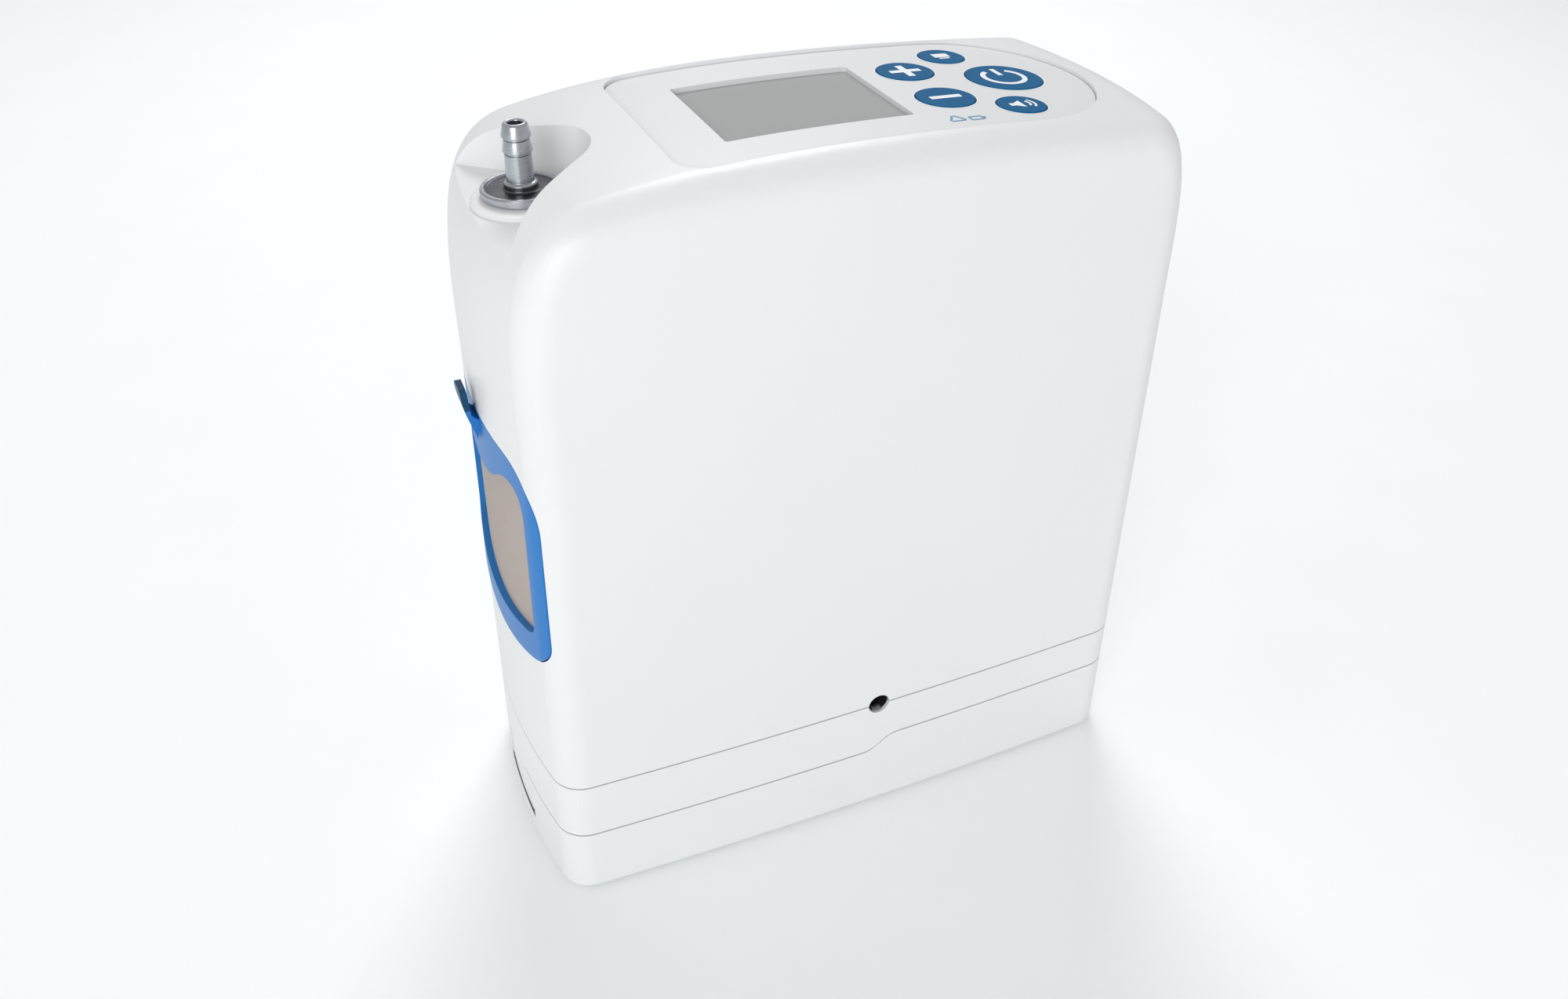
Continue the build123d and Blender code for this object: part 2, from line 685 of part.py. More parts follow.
rim_x = half_length - 5.0
rail_spans = (
    (rail_x, step_end_x, lower_seam_left - 1.0),
    (step_end_x, rim_x, lower_seam_right - 1.0),
    (rim_x, half_length + beyond, lower_seam_right),
)
with BuildPart() as battery_rails:
    for start_x, end_x, root_z in rail_spans:
        for y in (-rail_y, rail_y):
            with Locations(((start_x + end_x) / 2, y, (root_z + rail_head_high) / 2)):
                Box(end_x - start_x, rail_neck, rail_head_high - root_z)
            with Locations(((start_x + end_x) / 2, y, (rail_head_low + rail_head_high) / 2)):
                Box(end_x - start_x, rail_head, rail_head_high - rail_head_low)
    add(rail_end_skin, mode=Mode.INTERSECT)

with BuildPart() as battery_lid:
    add(lid_region.part)
    add(battery_rails.part)
    # openings for the contact socket and the latch tooth
    with Locations((16.2, 0, 24.1)):
        Box(12.2, 22.0, 5.0, mode=Mode.SUBTRACT)
    with Locations((6.1, 0, 25.4)):
        Box(13.0, 21.0, 1.6, mode=Mode.SUBTRACT)
    with Locations((-half_length + 6.0, 0, lower_seam_left)):
        Box(14.0, 30.0, 6.0, mode=Mode.SUBTRACT)
finish(battery_lid, "battery_lid")

cell_z = foot_proud + battery_floor + cell_radius + 0.2
with BuildPart() as battery_cells:
    for x in (-65.5, 0.5):
        for row in (-1.5, -0.5, 0.5, 1.5):
            with BuildSketch(Plane.YZ.offset(x)):
                with Locations((row * cell_pitch, cell_z)):
                    Circle(cell_radius)
            extrude(amount=cell_length)
            with BuildSketch(Plane.YZ.offset(x + cell_length)):
                with Locations((row * cell_pitch, cell_z)):
                    Circle(3.0)
            extrude(amount=0.6)
finish(battery_cells, "battery_cells")

with BuildPart() as battery_board:
    with Locations((76.0, 0, cell_z)):
        Box(1.6, 56.0, 15.0)
    with Locations(*[(77.8, y, cell_z) for y in (-20, -8, 4, 16)]):
        Box(2.0, 7.0, 6.0)
finish(battery_board, "battery_board")

with BuildPart() as battery_socket:
    with Locations((17.3, 0, 24.9)):
        Box(9.6, 21.4, 3.0)
    with Locations(*[(16.6, y, 25.4) for y in (-8, -4, 0, 4, 8)]):
        Box(8.6, 3.1, 1.5, mode=Mode.SUBTRACT)
finish(battery_socket, "battery_socket")

with BuildPart() as battery_connector:
    with Locations((-7.0, 0, 27.8)):
        Box(7.6, 21.0, 4.8)
    with Locations(*[(8.4, y, 25.4) for y in (-8, -4, 0, 4, 8)]):
        Box(23.4, 2.5, 0.8)
    with Locations((-5.0, 0, 25.4)):
        Box(3.6, 21.0, 0.8)
finish(battery_connector, "battery_connector")

with BuildPart() as battery_feet:
    with Locations(*[(x, y, 0.45) for x, y in foot_places]):
        Cylinder(5.0, 0.9)
finish(battery_feet, "battery_feet")

latch_plate = 2.4
with BuildPart() as battery_latch:
    extrude(latch_arch(0), amount=-half_length - beyond)
    add(casing_form(0.3), mode=Mode.INTERSECT)
    add(casing_form(0.3 + latch_plate), mode=Mode.SUBTRACT)
    with Locations((0, 0, 0)):
        Box(2 * half_length - 12, case_depth, case_height, mode=Mode.SUBTRACT)
    with Locations(*[((latch_pivot_x - 88.8) / 2, y, latch_pivot_z) for y in (-9.0, 9.0)]):
        Box(8.8, 3.0, 4.0)
    with Locations(*[(latch_pivot_x, y, latch_pivot_z) for y in (-9.0, 9.0)]):
        Cylinder(2.4, 3.0, rotation=(90, 0, 0))
    with Locations((-87.4, 0, 20.6)):
        Box(2.4, 10.0, 5.8)
    with Locations((-88.4, 0, 18.8)):
        Box(2.0, 10.0, 2.4)
    with Locations((latch_pivot_x, 0, latch_pivot_z)):
        Cylinder(1.30, 40, rotation=(90, 0, 0), mode=Mode.SUBTRACT)
finish(battery_latch, "battery_latch")

with BuildPart() as latch_pin:
    with Locations((latch_pivot_x, 0, latch_pivot_z)):
        Cylinder(1.25, 36.0, rotation=(90, 0, 0))
finish(latch_pin, "latch_pin")

# ================================================================ chassis and boards
chassis_x = (-66.0, 43.0)
chassis_y = (-33.5, 33.5)
wall_y = 27.0
with BuildPart() as chassis:
    with Locations(((chassis_x[0] + chassis_x[1]) / 2, 0, chassis_floor_z + 1.25)):
        Box(chassis_x[1] - chassis_x[0], chassis_y[1] - chassis_y[0], 2.5)
    with Locations(((chassis_x[0] + chassis_x[1]) / 2, wall_y + 1.0, 105.0)):
        Box(chassis_x[1] - chassis_x[0], 2.0, 124.0)
    with Locations((chassis_x[0] + 1.25, 0, 87.0)):
        Box(2.5, 58.0, 88.0)
    with Locations((chassis_x[0] + 1.25, 0, fan_z)):
        Cylinder(22.5, 10, rotation=(0, 90, 0), mode=Mode.SUBTRACT)
    with Locations((-37.0, wall_y - 1.5, tank_z), (22.0, wall_y - 1.5, tank_z)):
        Box(6.0, 5.0, 12.0)
    with Locations((-8, tank_y, tank_z)):
        Cylinder(tank_radius, 120, rotation=(0, 90, 0), mode=Mode.SUBTRACT)
    with Locations(*[(x, y, chassis_floor_z) for x, y in chassis_posts]):
        Cylinder(1.7, 8, mode=Mode.SUBTRACT)
    with Locations((-14.0, wall_y, 160.0), (14.0, wall_y, 160.0)):
        Box(14.0, 8.0, 6.0, mode=Mode.SUBTRACT)
    with Locations((jack_x, chassis_y[0], chassis_floor_z)):
        Box(13.0, 18.0, 8.0, mode=Mode.SUBTRACT)
    with Locations(*[(x, (board_y + wall_y + 2.0) / 2, z) for x in (-54, 34) for z in (61, 155)]):
        Cylinder(3.0, board_y - wall_y - 2.0, rotation=(90, 0, 0))
finish(chassis, "chassis")

with BuildPart() as main_board:
    with Locations((-10.0, board_y + 0.8, 108.0)):
        Box(98.0, 1.6, 104.0)
    with Locations(*[(x, board_y + 0.8, z) for x in (-54, 34) for z in (61, 155)]):
        Cylinder(1.7, 4, rotation=(90, 0, 0), mode=Mode.SUBTRACT)
finish(main_board, "main_board")

with BuildPart() as board_components:
    with Locations((-20, board_y + 2.6, 130), (14, board_y + 2.6, 96)):
        Box(14, 2.0, 14)
    with Locations((-40, board_y + 3.1, 80), (-28, board_y + 3.1, 80), (-16, board_y + 3.1, 80)):
        Cylinder(4.5, 3.0, rotation=(90, 0, 0))
    with Locations(*[(x, board_y + 2.35, 66) for x in range(-4, 30, 8)]):
        Box(5, 1.5, 6)
    with Locations(*[(-44, board_y + 2.35, z) for z in (104, 116, 128)]):
        Box(8, 1.5, 5)
finish(board_components, "board_components")

# ================================================================ compressor
case_half = 20.0
case_length_y = 30.0
cavity_radius = 17.0
cylinder_x = (19.0, 37.5)
cylinder_radius = 12.5
piston_radius = 9.0
left_ring_y = pump_face_y + 12.0
right_ring_y = pump_face_y + 20.0
with BuildPart() as crankcase:
    with Locations((pump_x, pump_face_y + case_length_y / 2, pump_z)):
        Box(2 * case_half, case_length_y, 2 * case_half)
        Cylinder(cavity_radius, case_length_y - 3.0, rotation=(90, 0, 0), mode=Mode.SUBTRACT)
    fillet(crankcase.edges().filter_by(Axis.Y), 4.0)
    with Locations((pump_x, pump_face_y + 1.0, pump_z)):
        Cylinder(cavity_radius, 2.5, rotation=(90, 0, 0), mode=Mode.SUBTRACT)
    with Locations((pump_x, pump_face_y + case_length_y, pump_z)):
        Cylinder(5.6, 8.0, rotation=(90, 0, 0), mode=Mode.SUBTRACT)
    with Locations((pump_x - 18, left_ring_y, pump_z), (pump_x + 18, right_ring_y, pump_z)):
        Cylinder(piston_radius + 0.6, 10.0, rotation=(0, 90, 0), mode=Mode.SUBTRACT)
finish(crankcase, "crankcase")

with BuildPart() as crankcase_cover:
    with Locations((pump_x, pump_face_y - 1.0, pump_z)):
        Box(2 * case_half, 2.0, 2 * case_half)
    fillet(crankcase_cover.edges().filter_by(Axis.Y), 4.0)
    with Locations(*[(pump_x + x, pump_face_y - 1.0, pump_z + z) for x in (-15.5, 15.5) for z in (-15.5, 15.5)]):
        Cylinder(1.6, 4.0, rotation=(90, 0, 0), mode=Mode.SUBTRACT)
finish(crankcase_cover, "crankcase_cover")

with BuildPart() as cover_screws:
    with Locations(*[(pump_x + x, pump_face_y - 2.8, pump_z + z) for x in (-15.5, 15.5) for z in (-15.5, 15.5)]):
        Cylinder(2.4, 1.6, rotation=(90, 0, 0))
        Cylinder(1.3, 5.0, rotation=(90, 0, 0))
finish(cover_screws, "cover_screws")

with BuildPart() as pump_cylinders:
    for side, y in ((-1, left_ring_y), (1, right_ring_y)):
        with Locations((pump_x + side * (case_half + cylinder_x[1]) / 2, y, pump_z)):
            Cylinder(cylinder_radius, cylinder_x[1] - case_half, rotation=(0, 90, 0))
            Cylinder(piston_radius + 0.06, 40, rotation=(0, 90, 0), mode=Mode.SUBTRACT)
finish(pump_cylinders, "pump_cylinders")

with BuildPart() as cylinder_heads:
    for side, y in ((-1, left_ring_y), (1, right_ring_y)):
        with Locations((pump_x + side * (cylinder_x[1] + 2.5), y, pump_z)):
            Cylinder(cylinder_radius + 1.0, 5.0, rotation=(0, 90, 0))
        with Locations((pump_x + side * (cylinder_x[1] + 2.5), y, pump_z + cylinder_radius + 1.6)):
            Cylinder(2.2, 4.0)
finish(cylinder_heads, "cylinder_heads")

pistons = ((-1, left_ring_y, "left_piston"), (1, right_ring_y, "right_piston"))
for side, y, name in pistons:
    with BuildPart() as piston:
        with Locations((pump_x + side * 28.5, y, pump_z)):
            Cylinder(piston_radius, 6.0, rotation=(0, 90, 0))
        with Locations((pump_x + side * 17.0, y, pump_z)):
            Box(17.5, 4.0, 4.0)
        with Locations((pump_x, y, pump_z)):
            Cylinder(ring_bore + 2.2, 4.0, rotation=(90, 0, 0))
            Cylinder(ring_bore, 8.0, rotation=(90, 0, 0), mode=Mode.SUBTRACT)
    finish(piston, name)

shaft_end_y = 22.0
with BuildPart() as crankshaft:
    with Locations((pump_x, pump_face_y + 16.5, pump_z + crank_throw)):
        Cylinder(crank_pin_radius, 18.0, rotation=(90, 0, 0))
    with Locations((pump_x, pump_face_y + 26.0, pump_z)):
        Cylinder(9.0, 1.6, rotation=(90, 0, 0))
    with Locations((pump_x, (pump_face_y + 26.0 + shaft_end_y) / 2, pump_z)):
        Cylinder(shaft_radius, shaft_end_y - pump_face_y - 26.0, rotation=(90, 0, 0))
finish(crankshaft, "crankshaft")

with BuildPart() as crank_bearings:
    with Locations((pump_x, pump_face_y + 28.6, pump_z), (pump_x, shaft_end_y - 1.4, pump_z)):
        Cylinder(5.5, 2.4, rotation=(90, 0, 0))
        Cylinder(shaft_radius + 0.04, 10, rotation=(90, 0, 0), mode=Mode.SUBTRACT)
finish(crank_bearings, "crank_bearings")

motor_low_y = pump_face_y + case_length_y
motor_high_y = 24.5
motor_middle_y = (motor_low_y + motor_high_y) / 2
with BuildPart() as motor_can:
    with Locations((pump_x, motor_middle_y, pump_z)):
        Cylinder(19.0, motor_high_y - motor_low_y, rotation=(90, 0, 0))
    with Locations((pump_x, motor_middle_y - 1.5, pump_z)):
        Cylinder(17.5, motor_high_y - motor_low_y - 3.0, rotation=(90, 0, 0), mode=Mode.SUBTRACT)
    with Locations((pump_x, shaft_end_y, pump_z)):
        Cylinder(5.6, 5.2, rotation=(90, 0, 0), mode=Mode.SUBTRACT)
finish(motor_can, "motor_can")

with BuildPart() as motor_stator:
    with Locations((pump_x, 8.5, pump_z)):
        Cylinder(17.5, 15.0, rotation=(90, 0, 0))
        Cylinder(12.2, 20, rotation=(90, 0, 0), mode=Mode.SUBTRACT)
finish(motor_stator, "motor_stator")

with BuildPart() as motor_rotor:
    with Locations((pump_x, 8.5, pump_z)):
        Cylinder(11.7, 15.0, rotation=(90, 0, 0))
        Cylinder(shaft_radius, 20, rotation=(90, 0, 0), mode=Mode.SUBTRACT)
finish(motor_rotor, "motor_rotor")

isolator_rows = (-19.0, -6.5)
with BuildPart() as pump_isolators:
    with Locations(*[(pump_x + x, y, chassis_floor_z + 5.0) for x in (-14, 14) for y in isolator_rows]):
        Cylinder(4.5, 5.0)
    with Locations(*[(pump_x + x, y, chassis_floor_z + 8.75) for x in (-14, 14) for y in isolator_rows]):
        Cylinder(6.0, 2.5)
finish(pump_isolators, "pump_isolators")

# ================================================================ gas circuit
with BuildPart() as product_tank:
    with Locations((-10.0, tank_y, tank_z)):
        Cylinder(tank_radius, 92.0, rotation=(0, 90, 0))
    fillet(product_tank.edges(), 5.0)
    with Locations((-10.0, tank_y, tank_z)):
        Cylinder(tank_radius - 1.5, 84.0, rotation=(0, 90, 0), mode=Mode.SUBTRACT)
finish(product_tank, "product_tank")

with BuildPart() as sieve_tubes:
    for y in (-column_y, column_y):
        with Locations((column_x, y, (column_low + column_high) / 2)):
            Cylinder(column_radius, column_high - column_low)
            Cylinder(column_radius - 1.2, 200, mode=Mode.SUBTRACT)
finish(sieve_tubes, "sieve_tubes")

bed_high = column_high - 8.0
with BuildPart() as zeolite_beds:
    for y in (-column_y, column_y):
        with Locations((column_x, y, (column_low + bed_high) / 2)):
            Cylinder(column_radius - 1.3, bed_high - column_low)
finish(zeolite_beds, "zeolite_beds")

with BuildPart() as column_caps:
    for y in (-column_y, column_y):
        with Locations((column_x, y, column_high + 2.5)):
            Cylinder(column_radius, 5.0)
        with Locations((column_x, y, column_high - 1.0)):
            Cylinder(column_radius - 1.3, 2.0)
finish(column_caps, "column_caps")

with BuildPart() as bed_springs:
    for y in (-column_y, column_y):
        for turn, size in enumerate((11.0, 9.6, 8.2)):
            with Locations((column_x, y, bed_high + 1.1 + 1.9 * turn)):
                Torus(size, 0.9)
finish(bed_springs, "bed_springs")

with BuildPart() as column_base:
    with Locations((column_x - 0.5, 0, (rail_head_high + rail_gap + 1.4 + column_low) / 2)):
        Box(32.0, 66.0, column_low - rail_head_high - rail_gap - 1.4)
    fillet(column_base.edges().filter_by(Axis.Z), 12.0)
finish(column_base, "column_base")

manifold_z = (column_high + 5.0, column_high + 17.0)
with BuildPart() as valve_manifold:
    with Locations((59.0, 0, (manifold_z[0] + manifold_z[1]) / 2)):
        Box(42.0, 66.0, manifold_z[1] - manifold_z[0])
    fillet(valve_manifold.edges().filter_by(Axis.Z), 3.0)
finish(valve_manifold, "valve_manifold")

valve_z = (manifold_z[0] + manifold_z[1]) / 2
with BuildPart() as solenoid_valves:
    for y in (-24, -8, 8, 24):
        with Locations((33.0, y, valve_z)):
            Box(10.0, 11.0, 11.0)
        with Locations((21.0, y, valve_z)):
            Cylinder(4.6, 14.0, rotation=(0, 90, 0))
finish(solenoid_valves, "solenoid_valves")

head_x = cylinder_x[1] + 2.5
head_top = pump_z + cylinder_radius + 3.6
right_hose = hose([(pump_x + head_x, right_ring_y, head_top), (pump_x + head_x, right_ring_y, 146),
                   (42.0, -20.0, 156), (42.0, -20.0, manifold_z[0])], 2.6, 1.6, 6.0)
left_hose = hose([(pump_x - head_x, left_ring_y, head_top), (pump_x - head_x, left_ring_y, 152),
                  (42.0, -8.0, 152), (42.0, -8.0, manifold_z[0])], 2.6, 1.6, 7.0)
with BuildPart() as feed_hoses:
    add([right_hose.part, left_hose.part])
finish(feed_hoses, "feed_hoses")

# ================================================================ fan
fan_width = 50.0
fan_middle = (fan_x[0] + fan_x[1]) / 2
with BuildPart() as fan_frame:
    with Locations((fan_middle, 0, fan_z)):
        Box(fan_x[1] - fan_x[0], fan_width, fan_width)
    fillet(fan_frame.edges().filter_by(Axis.X), 4.0)
    with Locations((fan_middle, 0, fan_z)):
        Cylinder(23.5, 30, rotation=(0, 90, 0), mode=Mode.SUBTRACT)
    with Locations((fan_x[1] - 0.75, 0, fan_z)):
        Cylinder(9.0, 1.5, rotation=(0, 90, 0))
        Box(1.5, 3.0, fan_width - 2)
        Box(1.5, fan_width - 2, 3.0)
    with Locations((fan_middle, 0, fan_z)):
        Cylinder(1.5, 10.0, rotation=(0, 90, 0))
finish(fan_frame, "fan_frame")

blade_count = 7
with BuildPart() as fan_rotor:
    with Locations((fan_middle - 0.8, 0, fan_z)):
        Cylinder(9.5, 7.4, rotation=(0, 90, 0))
        Cylinder(1.55, 20, rotation=(0, 90, 0), mode=Mode.SUBTRACT)
    for blade in range(blade_count):
        turn = 360 / blade_count * blade
        leaf = Plane(origin=(fan_middle - 0.8, 0, fan_z), x_dir=(1, 0, 0),
                     z_dir=(0, -math.sin(math.radians(turn)), math.cos(math.radians(turn))))
        with BuildSketch(leaf.offset(9.0)):
            Rectangle(7.0, 1.4, rotation=52)
        extrude(amount=13.6)
finish(fan_rotor, "fan_rotor")
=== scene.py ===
"""Finishes and fine detail for a portable oxygen concentrator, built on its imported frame."""

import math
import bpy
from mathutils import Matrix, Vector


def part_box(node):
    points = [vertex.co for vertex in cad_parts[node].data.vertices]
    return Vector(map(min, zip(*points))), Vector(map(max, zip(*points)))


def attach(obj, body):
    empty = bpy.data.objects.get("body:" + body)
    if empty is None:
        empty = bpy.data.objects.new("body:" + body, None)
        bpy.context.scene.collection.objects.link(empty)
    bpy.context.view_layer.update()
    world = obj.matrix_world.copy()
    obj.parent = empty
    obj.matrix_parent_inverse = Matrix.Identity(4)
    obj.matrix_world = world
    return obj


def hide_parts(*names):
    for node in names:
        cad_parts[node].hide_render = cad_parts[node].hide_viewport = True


bl_info = {
    "name": "Oxygen Concentrator Finish",
    "version": (1, 0, 0),
    "blender": (4, 5, 0),
    "location": "View3D > Sidebar > Concentrator",
    "description": "Plastics, prints, metals and studio for a portable oxygen concentrator",
    "category": "Object",
}

import bmesh
import bpy
from bpy.props import FloatProperty, FloatVectorProperty, PointerProperty
from mathutils import Matrix, Vector
from mathutils.bvhtree import BVHTree

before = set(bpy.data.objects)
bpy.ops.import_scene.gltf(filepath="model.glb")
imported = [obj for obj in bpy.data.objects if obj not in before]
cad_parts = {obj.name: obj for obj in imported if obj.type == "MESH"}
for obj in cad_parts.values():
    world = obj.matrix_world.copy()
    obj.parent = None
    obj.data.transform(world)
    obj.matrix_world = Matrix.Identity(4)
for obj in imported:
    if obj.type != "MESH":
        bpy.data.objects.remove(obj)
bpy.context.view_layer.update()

MM = 0.001
MATERIALS = {}


def centre(node):
    """Middle of a node's box, in metres."""
    low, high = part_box(node)
    return (low + high) / 2


def colour_setting(name, description, value):
    """A colour that a user may change."""
    return FloatVectorProperty(name=name, description=description, subtype="COLOR", size=3, min=0.0, max=1.0,
                               default=value)


def length_setting(name, description, value):
    """A length in metres that a user may change."""
    return FloatProperty(name=name, description=description, default=value, unit="LENGTH", precision=5)


# ------------------------------------------------------------------ settings
class CaseSettings(bpy.types.PropertyGroup):
    """Moulded case shells and the lips in their seams."""

    shell: colour_setting("Shell", "White of the case mouldings", (0.775, 0.78, 0.785))
    # The seam lip grey is painted shade: it darkens the seams where shade falls in their gaps.
    lip: colour_setting("Seam lip", "Grey of the lips inside the seams", (0.17, 0.175, 0.18))
    edge: length_setting("Edge", "Rounding of the moulded rims", 0.22 * MM)
    lip_inset: length_setting("Lip inset", "How far the seam lips stand in from the walls", 0.75 * MM)
    lip_height: length_setting("Lip height", "How far a seam lip rises from its rim", 0.42 * MM)


class PanelSettings(bpy.types.PropertyGroup):
    """Control panel, keys, prints and screen."""

    panel: colour_setting("Panel", "Grey-white of the control panel", (0.73, 0.735, 0.74))
    key: colour_setting("Key", "Blue of the keys", (0.001, 0.112, 0.275))
    symbol: colour_setting("Symbol", "White of the key symbols", (0.88, 0.89, 0.90))
    notice: colour_setting("Notice", "Pale blue of the notice print", (0.09, 0.30, 0.48))
    screen: colour_setting("Screen", "Grey of the resting display", (0.37, 0.385, 0.378))
    ink: length_setting("Ink", "Thickness of the printed ink", 0.03 * MM)
    rim: length_setting("Rim", "Width of the pale rim round each key", 0.32 * MM)


class FilterSettings(bpy.types.PropertyGroup):
    """Intake filters at both ends."""

    rim: colour_setting("Frame", "Blue of the filter frames", (0.022, 0.185, 0.52))
    tab: colour_setting("Tab", "Dark blue of the pull tabs", (0.004, 0.055, 0.12))
    weave: colour_setting("Weave", "Taupe of the filter cloth", (0.50, 0.435, 0.40))
    thread: length_setting("Thread", "Distance from one thread to the next", 0.55 * MM)


class StudioSettings(bpy.types.PropertyGroup):
    """Floor and lights."""

    floor: colour_setting("Floor", "Colour of the plain floor", (0.96, 0.985, 0.985))
    key_power: FloatProperty(name="Key light", description="Power of the large front light",
                             default=17.0, min=0)
    fill_power: FloatProperty(name="Fill light", description="Power of the light behind the unit",
                              default=9.0, min=0)
    sky: FloatProperty(name="Sky", description="Strength of the even surrounding light", default=0.56, min=0)


# ------------------------------------------------------------------ shader helpers
def socket(group, name, direction, kind, default=None):
    """Adds one socket to a node group."""
    made = group.interface.new_socket(name, in_out=direction, socket_type=kind)
    if default is not None:
        made.default_value = default
    return made


def node(tree, kind, **values):
    """A node with some of its properties or inputs set."""
    made = tree.nodes.new(kind)
    for name, value in values.items():
        if hasattr(made, name):
            setattr(made, name, value)
        else:
            made.inputs[name.replace("_", " ")].default_value = value
    return made


def moulded_group():
    """Fine spark-eroded mould grain with slow drifts of tone and gloss."""
    group = bpy.data.node_groups.new("moulded_surface", "ShaderNodeTree")
    socket(group, "Colour", "INPUT", "NodeSocketColor", (0.8, 0.8, 0.8, 1))
    socket(group, "Tone Drift", "INPUT", "NodeSocketFloat", 0.02)
    socket(group, "Gloss Low", "INPUT", "NodeSocketFloat", 0.3)
    socket(group, "Gloss High", "INPUT", "NodeSocketFloat", 0.4)
    socket(group, "Grain Scale", "INPUT", "NodeSocketFloat", 2600.0)
    socket(group, "Colour", "OUTPUT", "NodeSocketColor")
    socket(group, "Roughness", "OUTPUT", "NodeSocketFloat")
    socket(group, "Height", "OUTPUT", "NodeSocketFloat")
    start = group.nodes.new("NodeGroupInput")
    end = group.nodes.new("NodeGroupOutput")
    place = group.nodes.new("ShaderNodeTexCoord")
    drift = node(group, "ShaderNodeTexNoise", Scale=22.0, Detail=3.0)
    grain = node(group, "ShaderNodeTexNoise", Detail=4.0, Roughness=0.65)
    darker = node(group, "ShaderNodeHueSaturation")
    shade = node(group, "ShaderNodeMapRange", From_Min=0.3, From_Max=0.7)
    less = node(group, "ShaderNodeMath", operation="SUBTRACT")
    less.inputs[0].default_value = 1.0
    gloss = node(group, "ShaderNodeMapRange", From_Min=0.3, From_Max=0.7)
    link = group.links.new
    link(place.outputs["Object"], drift.inputs["Vector"])
    link(place.outputs["Object"], grain.inputs["Vector"])
    link(start.outputs["Grain Scale"], grain.inputs["Scale"])
    link(start.outputs["Tone Drift"], less.inputs[1])
    link(less.outputs[0], shade.inputs["To Min"])
    shade.inputs["To Max"].default_value = 1.0
    link(drift.outputs["Fac"], shade.inputs["Value"])
    link(shade.outputs["Result"], darker.inputs["Value"])
    link(start.outputs["Colour"], darker.inputs["Color"])
    link(grain.outputs["Fac"], gloss.inputs["Value"])
    link(start.outputs["Gloss Low"], gloss.inputs["To Min"])
    link(start.outputs["Gloss High"], gloss.inputs["To Max"])
    link(darker.outputs["Color"], end.inputs["Colour"])
    link(gloss.outputs["Result"], end.inputs["Roughness"])
    link(grain.outputs["Fac"], end.inputs["Height"])
    return group


def turned_group():
    """Fine tool marks round a vertical or lengthwise axis, for turned and drawn metal."""
    group = bpy.data.node_groups.new("turned_surface", "ShaderNodeTree")
    socket(group, "Colour", "INPUT", "NodeSocketColor", (0.6, 0.6, 0.6, 1))
    socket(group, "Gloss Low", "INPUT", "NodeSocketFloat", 0.25)
    socket(group, "Gloss High", "INPUT", "NodeSocketFloat", 0.4)
    socket(group, "Stretch", "INPUT", "NodeSocketVector", (200.0, 200.0, 4000.0))
    socket(group, "Colour", "OUTPUT", "NodeSocketColor")
    socket(group, "Roughness", "OUTPUT", "NodeSocketFloat")
    socket(group, "Height", "OUTPUT", "NodeSocketFloat")
    start = group.nodes.new("NodeGroupInput")
    end = group.nodes.new("NodeGroupOutput")
    place = group.nodes.new("ShaderNodeTexCoord")
    stretch = node(group, "ShaderNodeVectorMath", operation="MULTIPLY")
    marks = node(group, "ShaderNodeTexNoise", Scale=1.0, Detail=5.0)
    gloss = node(group, "ShaderNodeMapRange", From_Min=0.3, From_Max=0.7)
    tone = node(group, "ShaderNodeMapRange", From_Min=0.3, From_Max=0.7, To_Min=0.9, To_Max=1.0)
    shade = node(group, "ShaderNodeHueSaturation")
    link = group.links.new
    link(place.outputs["Object"], stretch.inputs[0])
    link(start.outputs["Stretch"], stretch.inputs[1])
    link(stretch.outputs[0], marks.inputs["Vector"])
    link(marks.outputs["Fac"], gloss.inputs["Value"])
    link(start.outputs["Gloss Low"], gloss.inputs["To Min"])
    link(start.outputs["Gloss High"], gloss.inputs["To Max"])
    link(marks.outputs["Fac"], tone.inputs["Value"])
    link(tone.outputs["Result"], shade.inputs["Value"])
    link(start.outputs["Colour"], shade.inputs["Color"])
    link(shade.outputs["Color"], end.inputs["Colour"])
    link(gloss.outputs["Result"], end.inputs["Roughness"])
    link(marks.outputs["Fac"], end.inputs["Height"])
    return group


def shared_group(name):
    """The named effect group, built the first time it is asked for."""
    makers = {"moulded_surface": moulded_group, "turned_surface": turned_group}
    return bpy.data.node_groups.get(name) or makers[name]()


def opaque(colour):
    """A colour with full alpha."""
    return (*colour[:3], 1.0)


def new_material(name):
    """A new material kept under its name, with its node tree and its shader."""
    made = bpy.data.materials.new(name)
    made.use_nodes = True
    MATERIALS[name] = made
    return made, made.node_tree, made.node_tree.nodes["Principled BSDF"]


def bump(tree, shader, height, depth):
    """Feeds a height into the shader's normal as relief of that depth in metres."""
    relief = node(tree, "ShaderNodeBump", Strength=1.0, Distance=depth)
    tree.links.new(height, relief.inputs["Height"])
    tree.links.new(relief.outputs["Normal"], shader.inputs["Normal"])


def plastic(name, colour, gloss=(0.3, 0.4), grain=2600.0, depth=0.00001, drift=0.03, coat=0.0, specular=0.5):
    """Moulded plastic or rubber with a fine grain."""
    if name in MATERIALS:
        return MATERIALS[name]
    made, tree, shader = new_material(name)
    surface = node(tree, "ShaderNodeGroup", node_tree=shared_group("moulded_surface"))
    surface.inputs["Colour"].default_value = opaque(colour)
    surface.inputs["Tone Drift"].default_value = drift
    surface.inputs["Gloss Low"].default_value = gloss[0]
    surface.inputs["Gloss High"].default_value = gloss[1]
    surface.inputs["Grain Scale"].default_value = grain
    tree.links.new(surface.outputs["Colour"], shader.inputs["Base Color"])
    tree.links.new(surface.outputs["Roughness"], shader.inputs["Roughness"])
    shader.inputs["Coat Weight"].default_value = coat
    shader.inputs["Specular IOR Level"].default_value = specular
    bump(tree, shader, surface.outputs["Height"], depth)
    return made


